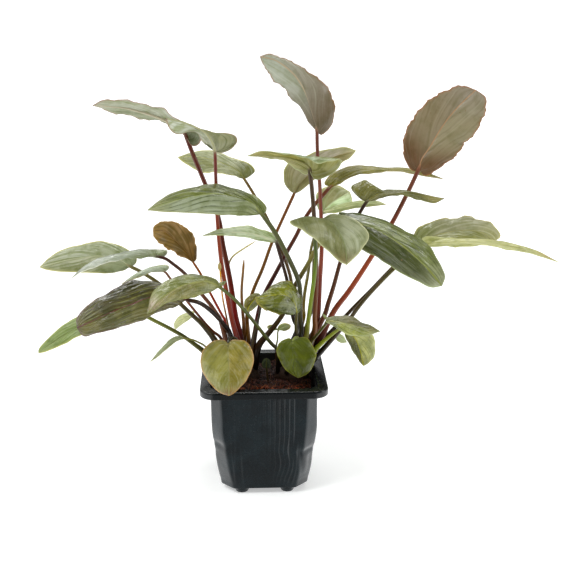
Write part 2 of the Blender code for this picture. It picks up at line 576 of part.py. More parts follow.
def tube_mesh(name, path, radii, sections, guides):
    """Petiole tube: a curve with a round bevel and filled ends."""
    share = np.linspace(0.0, 1.0, sections)
    points = spread(path, share)
    widths = np.interp(share, np.linspace(0.0, 1.0, len(radii)), radii)
    curve = bpy.data.curves.new(name + "_line", "CURVE")
    curve.dimensions = "3D"
    curve.bevel_depth = MM
    curve.bevel_resolution = 1
    curve.use_fill_caps = True
    spline = curve.splines.new("POLY")
    spline.points.add(sections - 1)
    for i in range(sections):
        spline.points[i].co = (points[i][0] * MM, points[i][1] * MM, points[i][2] * MM, 1.0)
        spline.points[i].radius = widths[i]
    obj = bpy.data.objects.new(name + "_line", curve)
    guides.objects.link(obj)
    bpy.context.view_layer.update()
    mesh = bpy.data.meshes.new_from_object(obj)
    bpy.data.objects.remove(obj)
    bm = bmesh.new()
    bm.from_mesh(mesh)
    bmesh.ops.remove_doubles(bm, verts=bm.verts, dist=MERGE_TUBE)
    bmesh.ops.recalc_face_normals(bm, faces=bm.faces)
    bm.to_mesh(mesh)
    bm.free()
    return mesh


def add_object(name, mesh, collection):
    obj = bpy.data.objects.new(name, mesh)
    collection.objects.link(obj)
    return obj


def bake(obj):
    """Replace an object's mesh by its mesh with the modifiers applied."""
    bpy.context.view_layer.update()
    evaluated = obj.evaluated_get(bpy.context.evaluated_depsgraph_get())
    mesh = bpy.data.meshes.new_from_object(evaluated)
    obj.modifiers.clear()
    obj.data = mesh


def combine(obj, cutter, operation):
    modifier = obj.modifiers.new(operation.lower(), "BOOLEAN")
    modifier.operation = operation
    modifier.solver = "EXACT"
    modifier.object = cutter
    bake(obj)


def finish(obj, material_name):
    mesh = obj.data
    mesh.materials.clear()
    mesh.materials.append(bpy.data.materials[material_name])
    for polygon in mesh.polygons:
        polygon.material_index = 0
        polygon.use_smooth = True
    bm = bmesh.new()
    bm.from_mesh(mesh)
    bmesh.ops.remove_doubles(bm, verts=bm.verts, dist=MERGE_LAST)
    bmesh.ops.triangulate(bm, faces=bm.faces)
    bm.to_mesh(mesh)
    bm.free()


def square_ring(width, corner, z, rounded):
    """Sixteen points of a square with cut or rounded corners, anticlockwise from the front left."""
    half = width / 2
    ring = []
    for quarter in range(4):
        turn = math.radians(90 * quarter)
        for step in range(4):
            share = step / 3
            if rounded:
                angle = math.radians(180 + 90 * share)
                x = -half + corner + corner * math.cos(angle)
                y = -half + corner + corner * math.sin(angle)
            else:
                x = -half + corner * share
                y = -half + corner * (1.0 - share)
            ring.append(Vector((x * math.cos(turn) - y * math.sin(turn),
                                x * math.sin(turn) + y * math.cos(turn), z)) * MM)
    return ring


def loft(name, rings, collection):
    """Closed solid through rings of equal point counts, with flat ends."""
    bm = bmesh.new()
    rows = [[bm.verts.new(p) for p in ring] for ring in rings]
    count = len(rows[0])
    for lower, upper in zip(rows, rows[1:]):
        for i in range(count):
            j = (i + 1) % count
            bm.faces.new((lower[i], lower[j], upper[j], upper[i]))
    bm.faces.new(list(reversed(rows[0])))
    bm.faces.new(rows[-1])
    bmesh.ops.recalc_face_normals(bm, faces=bm.faces)
    mesh = bpy.data.meshes.new(name)
    bm.to_mesh(mesh)
    bm.free()
    return add_object(name, mesh, collection)


def body_section(z, inset):
    """Width and corner cut of the tapered pot body at a height, taken in by a wall."""
    share = z / (POT_HEIGHT - LIP_HEIGHT)
    heights, widths = zip(*BODY_PROFILE)
    width = float(np.interp(z, heights, widths)) - 2 * inset
    chamfer = BODY_BASE_CHAMFER + (BODY_TOP_CHAMFER - BODY_BASE_CHAMFER) * share - CHAMFER_INSET * inset
    return width, chamfer


def cavity(name, inset, height, collection, guides):
    """Inside of the pot up to a height, taken in from the outer wall, with the well of the base plate."""
    sole = FLOOR_THICK + inset - POT_WALL
    floor = BASE_LIFT + sole
    between = [z for z, _ in BODY_PROFILE if floor + FLOOR_THICK < z < height]
    rings = [square_ring(*body_section(z, inset), z, False) for z in [floor] + between + [height]]
    inside = loft(name, rings, collection)
    width = PLATE_WIDTH - 2 * inset
    steps = [square_ring(width, PLATE_CHAMFER, z, False) for z in (sole, floor + FLOOR_THICK)]
    well = loft(name + "_well", steps, guides)
    combine(inside, well, "UNION")
    bpy.data.objects.remove(well)
    return inside


def build_pot(parts, guides):
    top = POT_HEIGHT
    under_lip = top - LIP_HEIGHT
    width_high, chamfer_high = body_section(under_lip, 0.0)
    lip_inner = RIM_WIDTH - 2 * LIP_WALL
    rings = [square_ring(*body_section(z, 0.0), z, False) for z, _ in BODY_PROFILE[:-1]]
    rings += [
        square_ring(width_high, chamfer_high, top - FLANGE, False),
        square_ring(lip_inner, RIM_CORNER - LIP_WALL, top - FLANGE, True),
        square_ring(lip_inner, RIM_CORNER - LIP_WALL, under_lip, True),
        square_ring(RIM_WIDTH, RIM_CORNER, under_lip, True),
        square_ring(RIM_WIDTH, RIM_CORNER, top - EDGE_ROUND, True),
        square_ring(RIM_WIDTH - 2 * EDGE_ROUND, RIM_CORNER - EDGE_ROUND, top, True),
    ]
    pot = loft("pot", rings, parts)
    sunk = BASE_LIFT + FOOT_SUNK
    rings = [square_ring(PLATE_WIDTH, PLATE_CHAMFER, z, False) for z in (0.0, sunk)]
    plate = loft("plate", rings, guides)
    combine(pot, plate, "UNION")
    bpy.data.objects.remove(plate)
    for x in (-FOOT_X, FOOT_X):
        for y in (-FOOT_Y, FOOT_Y):
            foot = cylinder("foot", (x, y), FOOT_RADIUS, 0.0, sunk, FOOT_SIDES, guides)
            combine(pot, foot, "UNION")
            bpy.data.objects.remove(foot)
    inside = cavity("pot_inside", POT_WALL, top + CUT_PAST, guides, guides)
    combine(pot, inside, "DIFFERENCE")
    bpy.data.objects.remove(inside)
    radii = (DRAIN_RADIUS, DRAIN_RADIUS)
    past = FLOOR_THICK + CUT_PAST
    for x in (-DRAIN_OFFSET, DRAIN_OFFSET):
        for y in (-DRAIN_OFFSET, DRAIN_OFFSET):
            cutter = cylinder("drain_cutter", (x, y), radii, -CUT_PAST, past, DRAIN_SIDES, guides)
            combine(pot, cutter, "DIFFERENCE")
            bpy.data.objects.remove(cutter)
    finish(pot, "pot")
    shade_flat_faces(pot)
    return pot


def cylinder(name, centre, radii, low, high, segments, collection):
    bm = bmesh.new()
    bmesh.ops.create_cone(bm, cap_ends=True, segments=segments, radius1=radii[0] * MM,
                          radius2=radii[1] * MM, depth=(high - low) * MM)
    bmesh.ops.translate(bm, verts=bm.verts, vec=Vector((centre[0], centre[1], (low + high) / 2)) * MM)
    mesh = bpy.data.meshes.new(name)
    bm.to_mesh(mesh)
    bm.free()
    return add_object(name, mesh, collection)


def shade_flat_faces(obj):
    for polygon in obj.data.polygons:
        polygon.use_smooth = False


def ellipsoid(name, centre, size, grow, collection, rings=6, segments=12):
    bm = bmesh.new()
    bmesh.ops.create_uvsphere(bm, u_segments=segments, v_segments=rings, radius=1.0)
    for vert in bm.verts:
        for axis in range(3):
            vert.co[axis] = (centre[axis] + vert.co[axis] * (size[axis] + grow)) * MM
    mesh = bpy.data.meshes.new(name)
    bm.to_mesh(mesh)
    bm.free()
    return add_object(name, mesh, collection)


def soil_height(x, y):
    """Height of the uneven soil surface."""
    wave_x, wave_y, fine_y, fine_x = SOIL_WAVES
    broad = math.sin(wave_x * x + 1.0) * math.cos(wave_y * y)
    fine = math.sin(fine_y * y + fine_x * x) / 2
    return SOIL_TOP + SOIL_BUMP * (broad + fine)


def build_soil(parts, guides, sleeves):
    """Soil body up to just under its surface, with the uneven surface as a grid on top."""
    shoulder = SOIL_TOP - SOIL_SHOULDER
    soil = cavity("soil", POT_WALL + GAP, shoulder, parts, guides)
    bm = bmesh.new()
    bm.from_mesh(soil.data)
    top = max(bm.faces, key=lambda face: (face.calc_center_median().z, face.calc_area()))
    bm.faces.remove(top)
    width, _ = body_section(shoulder, POT_WALL + GAP)
    half = width / 2 - SOIL_MARGIN
    places = np.linspace(-half, half, SOIL_STEPS)
    grid = [[bm.verts.new(Vector((x, y, soil_height(x, y))) * MM) for x in places] for y in places]
    for i in range(SOIL_STEPS - 1):
        for k in range(SOIL_STEPS - 1):
            bm.faces.new((grid[i][k], grid[i][k + 1], grid[i + 1][k + 1], grid[i + 1][k]))
    rim = [edge for edge in bm.edges if edge.is_boundary]
    bmesh.ops.bridge_loops(bm, edges=rim)
    bmesh.ops.recalc_face_normals(bm, faces=bm.faces)
    bm.to_mesh(soil.data)
    bm.free()
    for cutter in sleeves:
        combine(soil, cutter, "DIFFERENCE")
    finish(soil, "soil")
    return soil


def leaf_material(name):
    if name in BRONZE:
        return "leaf_bronze"
    if name in DARK:
        return "leaf_dark"
    if name in PALE:
        return "leaf_pale"
    return "leaf_green"


def blade_size(spec):
    """Rows and columns of a blade's grid, fewer for a small leaf."""
    first = at(spec["stem"][0], spec["depth"][0])
    last = at(spec["rib"][-1], spec["depth"][1])
    length = np.linalg.norm(last - first)
    if length < BLADE_SMALL:
        return 5, 1
    if length < BLADE_MIDDLE:
        return 6, 2
    return 7, 2


def is_closed(mesh):
    bm = bmesh.new()
    bm.from_mesh(mesh)
    closed = all(edge.is_manifold for edge in bm.edges)
    bm.free()
    return closed


def build_blade(name, spec, collection):
    rows, columns = blade_size(spec)
    blade = add_object(name, blade_mesh(name, spec, rows, columns), collection)
    solid = blade.modifiers.new("thickness", "SOLIDIFY")
    solid.thickness = BLADE_THICK * MM
    solid.offset = 0.0
    bake(blade)
    return blade


def build_leaf(name, spec, path, radii, crowns, parts, guides):
    blade = build_blade(name, spec, parts)
    if "twin" in spec:
        twin = build_blade(name + "_twin", dict(spec, **spec["twin"]), guides)
        combine(blade, twin, "UNION")
        bpy.data.objects.remove(twin)
    sheet = blade.data
    length = np.linalg.norm(np.diff(path, axis=0), axis=1).sum()
    sections = STEM_SECTIONS[int(length > STEM_LONG)]
    for share in KEEL_SHARES:
        line = np.vstack([keel_point(spec, share, radii[0]), path])
        tube = add_object(name + "_stem", tube_mesh(name, line, radii, sections, guides), guides)
        blade.data = sheet
        combine(blade, tube, "UNION")
        for cutter in crowns:
            combine(blade, cutter, "DIFFERENCE")
        finish(blade, leaf_material(name))
        bpy.data.objects.remove(tube)
        if is_closed(blade.data):
            break
    return blade


def build_shoot(name, spec, path, radii, crowns, parts, guides):
    shoot = add_object(name, tube_mesh(name, path, radii, STEM_SECTIONS[1], guides), parts)
    for cutter in crowns:
        combine(shoot, cutter, "DIFFERENCE")
    finish(shoot, "petiole")
    return shoot


def build_all():
    clear_scene()
    parts = new_collection("lagenandra")
    guides = new_collection("guides")
    for name in MATERIALS:
        make_material(name)
    specs = dict(LEAVES)
    specs["shoot_unfurled"] = SHOOT
    specs["leaf_thread"] = THREAD_LEAF
    paths = {name: stem_path(spec) for name, spec in specs.items()}
    radii = {name: stem_radii(specs[name], len(paths[name])) for name in specs}
    paths = settle(paths, radii)
    build_pot(parts, guides)
    trims = {}
    for side, centre in CROWNS.items():
        crown = ellipsoid("crown_" + side, centre, CROWN_SIZE, 0.0, parts)
        finish(crown, "crown")
        trims[side] = ellipsoid("trim_" + side, centre, CROWN_SIZE, GAP, guides)
    sleeves = list(trims.values())
    for name in ("leaf_shadow_small", "seedling"):
        wide = radii[name] + GAP
        line = paths[name] - np.array((0.0, 0.0, GAP))
        sleeve = tube_mesh(name, line, wide, STEM_SECTIONS[0], guides)
        sleeves.append(add_object(name + "_sleeve", sleeve, guides))
    build_soil(parts, guides, sleeves)
    for name, spec in specs.items():
        place = spec["root"][0]
        cutters = [] if place == "soil" else [trims[place]]
        if "rib" in spec:
            build_leaf(name, spec, paths[name], radii[name], cutters, parts, guides)
        else:
            build_shoot(name, spec, paths[name], radii[name], cutters, parts, guides)
    for obj in list(guides.objects):
        bpy.data.objects.remove(obj)
    total = sum(len(obj.data.polygons) for obj in parts.objects)
    print("solids", len(parts.objects), "triangles", total)


build_all()
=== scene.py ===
"""Look of the potted lagenandra: fine leaves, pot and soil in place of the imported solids.

Lengths are in millimetres until a mesh is made. Leaf outlines are read from the photograph as
pixels and set in space by a depth Y, in the same way as in the part.
"""
import math

import bmesh
import bpy
import numpy as np
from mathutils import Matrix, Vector, noise


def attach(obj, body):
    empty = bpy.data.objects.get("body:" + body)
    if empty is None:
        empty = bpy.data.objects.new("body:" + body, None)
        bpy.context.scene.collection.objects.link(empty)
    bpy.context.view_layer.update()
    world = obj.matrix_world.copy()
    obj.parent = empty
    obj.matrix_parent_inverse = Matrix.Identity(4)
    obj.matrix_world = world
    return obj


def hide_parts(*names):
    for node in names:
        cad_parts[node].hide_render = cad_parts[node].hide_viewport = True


MM = 0.001

# Photograph: where the camera stood for a 90 mm pot rim.
PHOTO_SIZE = 570.0
PHOTO_FOCAL = 880.0
CAMERA = (-9.5, -608.0, 316.0)
CAMERA_PITCH = 15.41
CAMERA_TURN = 2.4

# Pot: rim, body, base with its feet and drain holes, then the steps of its mesh and the moulded ribs.
POT_HEIGHT = 84.0
RIM_WIDTH = 90.0
RIM_CORNER = 11.0
RIM_ROUND = 1.5
LIP_HEIGHT = 5.2
LIP_WALL = 1.5
LIP_UNDER = POT_HEIGHT - LIP_HEIGHT
FLANGE = 1.3
BODY_TOP_CHAMFER = 7.0
BODY_BASE_CHAMFER = 9.4
CHAMFER_INSET = 0.6
BODY_PROFILE = ((4.2, 63.0), (9.0, 64.4), (16.0, 67.6), (36.0, 72.6), (53.0, 75.2), (78.8, 75.6))
POT_WALL = 1.1
FLOOR_THICK = 1.4
BASE_LIFT = 4.2
EDGE_ROUND = 0.6
PLATE_WIDTH = 38.0
PLATE_CHAMFER = 6.0
PLATE_SKIP = 6
FOOT_X = 16.5
FOOT_Y = 25.2
FOOT_PROFILE = ((8.2, 4.2), (6.6, 3.9), (5.8, 3.1), (5.2, 1.8), (4.9, 0.8), (4.6, 0.25), (4.0, 0.0))
DRAIN_RADIUS = 3.2
DRAIN_OFFSET = 10.0
CIRCLE_SIDES = 28
FLAT_STEPS = 120
FILLET_STEPS = 5
CUT_STEPS = 8
FILLET = 1.3
WALL_ROWS = 60
WALL_FOOT = (5.5, 10.0)
WALL_HEAD = (79.0, 76.0)
PROFILE_STEP = 4.0
OPENING_ROUNDED = 0.9
INSIDE_HEIGHTS = (80.0, 77.0, 72.0, 60.0, 40.0, 20.0, 12.0, BASE_LIFT + FLOOR_THICK)
RIB_PITCH = 2.9
RIB_HEIGHT = 0.34
RIB_SPAN = 64.0
RIB_CENTRE = -1.0
RIB_FIELD = (26.0, 21.0)
RIB_FAINT = 0.4
RIB_FAINT_TO = (-12.0, 8.0)
RIB_BENT = 1.3
RIB_BENT_TURN = 0.19
RIB_BENT_FIELD = ((46.0, 26.0), (2.0, 12.0), (24.0, 17.0))
MARKS = ((-9.1, 30.0), (-9.1, 23.0))
MARK_RADIUS = 2.0
MARK_HEIGHT = 0.3
MARK_EDGE = (0.75, 0.2)
FRONT = -30.0

# Dents in the pot: centre, half size and depth; a negative depth is a bulge.
DENTS = (
    ((-34, -33, 40), (7, 7, 2.6), 1.1), ((-31, -34, 48), (5, 7, 8), -0.5),
    ((-36.5, -24, 34), (5, 8, 4), 0.8), ((31, -33, 34.5), (8, 7, 2), 1.2),
    ((26.5, -35, 26), (1.6, 6, 10), 0.7), ((29.5, -33, 25), (2.2, 6, 9), -0.5),
    ((35, -30, 50), (5, 7, 9), -0.7), ((36, -28, 30), (4, 7, 7), 0.7),
    ((18.5, -35, 36), (1.8, 7, 7), 0.6), ((21.5, -35, 34), (1.6, 7, 6), -0.5),
    ((13, -34, 26), (2.2, 7, 12), 0.35), ((-20.5, -34, 24), (1.3, 7, 17), -0.45),
    ((-17.5, -34, 20), (1.3, 7, 14), 0.4), ((-4, -36, 62), (16, 7, 7), 0.35),
    ((35, 30, 44), (8, 7, 3), 0.8), ((10, 36, 30), (9, 7, 4), 0.5),
)

# Soil.
SOIL_TOP = 76.5
SOIL_BUMP = 1.3
SOIL_WAVES = (0.31, 0.27, 0.55, 0.2)
SOIL_LUMPS = ((0.9, 0.22, 1.7), (0.55, 0.8, 5.1))
SOIL_TONE = 0.5
SOIL_ROOTED = 4.0
SOIL_SPOKES = 220
SOIL_RINGS = 74
SOIL_GAP = 0.15
SOIL_DROOP = 1.6
SOIL_HEIGHTS = (70.0, 53.0, 36.0, 20.0, 10.0)

# Litter on the soil: numbers of each kind, then the ranges of their sizes in millimetres.
LITTER_SEED = 11
CHIP_COUNT = 900
CHIP_LENGTH = (1.4, 4.6)
CHIP_WIDTH_SHARE = (0.3, 0.7)
CHIP_HEIGHT = (0.3, 0.9)
CHIP_LIFT = (-0.1, 0.7)
CHIP_TILT = 0.28
CHIP_SKEW = 0.22
CHIP_TAPER = 0.25
CHIP_BEVEL = 0.16
CRUMB_COUNT = 1300
CRUMB_SIZE = (0.4, 1.3)
FULL_TURN = 6.3
FIBRE_COUNT = 1700
FIBRE_STEPS = 7
FIBRE_LENGTH = (4.0, 13.0)
FIBRE_LIFT = (0.2, 1.5)
FIBRE_THICK = (0.10, 0.34)
FIBRE_ALIGNED = 0.6
FIBRE_HEADING = (-0.7, 0.6)
FIBRE_BEND = 0.09
FIBRE_WOBBLE = 0.12
FIBRE_SIDES = 5

# Crowns: creeping rhizomes with places for the petioles, and their leaf scars.
CROWNS = {
    "left": (-15.0, 3.0, 78.0),
    "right": (21.0, 4.0, 78.5),
}
CROWN_SIZE = (12.5, 10.5, 9.0)
CROWN_RINGS = 40
CROWN_SPOKES = 64
SLOT_STEP = 4.2
SLOT_FRONT = -8.0
ROOT_DEPTH = 0.72
SCAR_TURN = 1.15
SCAR_DEPTH = 0.35
CROWN_LUMPS = ((0.35, 0.5), (0.15, 1.6))

# Blades: thickness, grid and relief in millimetres; the scales of the noise are per millimetre.
BLADE_THICK = 0.55
BLADE_SWELL = 0.7
BLADE_ROWS = 46
ACROSS = (0.0, 0.03, 0.065, 0.11, 0.17, 0.24, 0.32, 0.40, 0.49, 0.58, 0.67, 0.76, 0.84, 0.90, 0.95, 0.98, 1.0)
LOBE_SHARE = 0.24
UPWARD = (0.0, -0.35, 0.94)
WANDER_SCALE = 0.05
ROLL_SCALE = 0.075
WRINKLE_SCALE = 0.21
WRINKLE_DEPTH = 0.7
QUILT_DEPTH = 0.26
QUILT_PER_LENGTH = 0.0042
QUILT_WIDTH = 0.38
RIB_DIP = 0.38
RIB_DIP_WIDTH = 0.8
ROLL_WIDTH = 10.0
WRINKLE_WIDTH = 8.0
SCALLOP_ENDS = ((0.03, 0.2), (0.99, 0.85))

# Petioles: their line from pixels, their tube, and how they are kept out of one another.
STEM_SAMPLE = 3.0
STEM_KNOTS = 12
STEM_LEAST = 5
STEM_BOW = 1.2
STEM_ROOT_PULL = 0.9
STEM_TAPER = 1.5
STEM_CLEAR = 0.8
STEM_SIDES = 12
STEM_MESH_STEP = 1.5
STEM_GROOVE = 0.16
GROOVE_WIDTH = 0.5
SHEATH = 46.0
SHEATH_END = 6.0
SHEATH_WIDE = 0.6
SHEATH_DEEP = 0.25
RIDGE_SHARE = 0.93
RIDGE_SIZE = 0.8
RIDGE_LEAST = 0.10
SPIKE_POINT = (0.25, 0.75)
SETTLE_ROUNDS = 200
SETTLE_NEAR = 5.0
SETTLE_PUSH = 0.3
SETTLE_STEP = 1.0
SETTLE_SOFT = (0.15, 0.22, 0.26, 0.22, 0.15)
CURVE_STEPS = 9

# Values kept at each point of a mesh for its skin.
FLOATS = ("along", "across", "half", "rib_gap", "edge_gap", "vein")
FAR = 9.0

# Tints that every blade has: deep mottling, painted sheen (pale, standing in for highlights) and brown spots.
DEEP = "b4bc84"
PAINTED_SHEEN = "dfe6cd"
SPOTS = "7a5c34"

# Light from the room, how bright it shows behind the plant, and the glow of the white table.
ROOM_LIGHT = 0.34
ROOM_SEEN = 1.1
ROOM_MIRRORED = 0.12
FLOOR_SIZE = 6.0
FLOOR_GLOW = 0.42
FLOOR_SIDES = (-0.01, 0.05, 0.42, 1.9)
FLOOR_WEDGE = 0.45

# Soft boxes seen in glossy things: direction from the plant, half angle in degrees and brightness.
CARDS = (
    ((-0.25, 0.8, 0.62), 24.0, 0.9), ((-0.95, 0.1, 0.35), 22.0, 1.6), ((0.95, -0.15, 0.3), 20.0, 1.6),
    ((0.1, 0.1, 1.0), 20.0, 0.5), ((-0.5, 0.35, 0.8), 14.0, 0.8), ((0.05, 0.5, 0.85), 9.0, 7.0),
    ((-0.35, 0.62, 0.7), 7.0, 9.0), ((0.45, 0.4, 0.8), 7.0, 7.0),
)

# Lamps: direction from the plant, strength and size as an angle in degrees.
LIGHTS = (
    ("key_light", (-0.55, -0.30, 0.9), 1.5, 24.0),
    ("top_light", (0.2, 0.35, 1.0), 1.0, 36.0),
    ("side_light", (1.0, -0.1, 0.45), 0.55, 24.0),
)


# What a look says unless it is changed: how far the tints reach from the joint and from the tip, bulge
# of each half, edge waves (size and count), strength of the veins, gloss from 0 matt to 1 wet, painted
# silvery sheen (pale streaks painted on for highlights), mottling, scalloped rim (millimetres and count),
# rolling, vein lines (ahead and across), depth of the quilting between the veins, and how far the root
# of the petiole swells.
PLAIN = dict(base_reach=0.4, tip_reach=0.4, cup=0.08, wave=(0.05, 3.0), veins=0.5, gloss=0.3, sheen=0.5,
             mottle=0.5, scallop=(0.0, 0.0), roll=0.9, lines=(6.0, 3.2), quilt=1.0, sheath=1.0)


def pixels(text):
    """Pixels of the photograph, written as x,y pairs."""
    return [tuple(float(value) for value in pair.split(",")) for pair in text.split()]


def leaf(root, radius, depth, lean, stem, rib, side_a, side_b, colours, petiole, twin=None, **changes):
    """Outline and look of a leaf.

    Outline: where it is rooted, petiole radius at root and joint, depth Y of joint and tip, how far each
    edge stands behind (+) or before (-) the midrib, then pixels of the petiole from the joint down, of
    the midrib from the joint to the tip and of both edges. A twin is a second blade on the same joint.
    Colours as sRGB hex: the side seen in the photograph (two codes in one where the halves differ, the
    difference being painted light and shade from how each half is tilted to the light), its other side,
    the joint, the tip, the rim, the midrib and the veins; then the petiole's top, middle and root.
    """
    places = ("seen", "other", "base", "tip", "rim", "rib", "vein")
    look = dict(PLAIN, **dict(zip(places, colours.split())), petiole=petiole.split(), **changes)
    return dict(root=root, radius=radius, depth=depth, lean=lean, stem=pixels(stem), rib=pixels(rib),
                side_a=pixels(side_a), side_b=pixels(side_b), look=look, twin=twin)


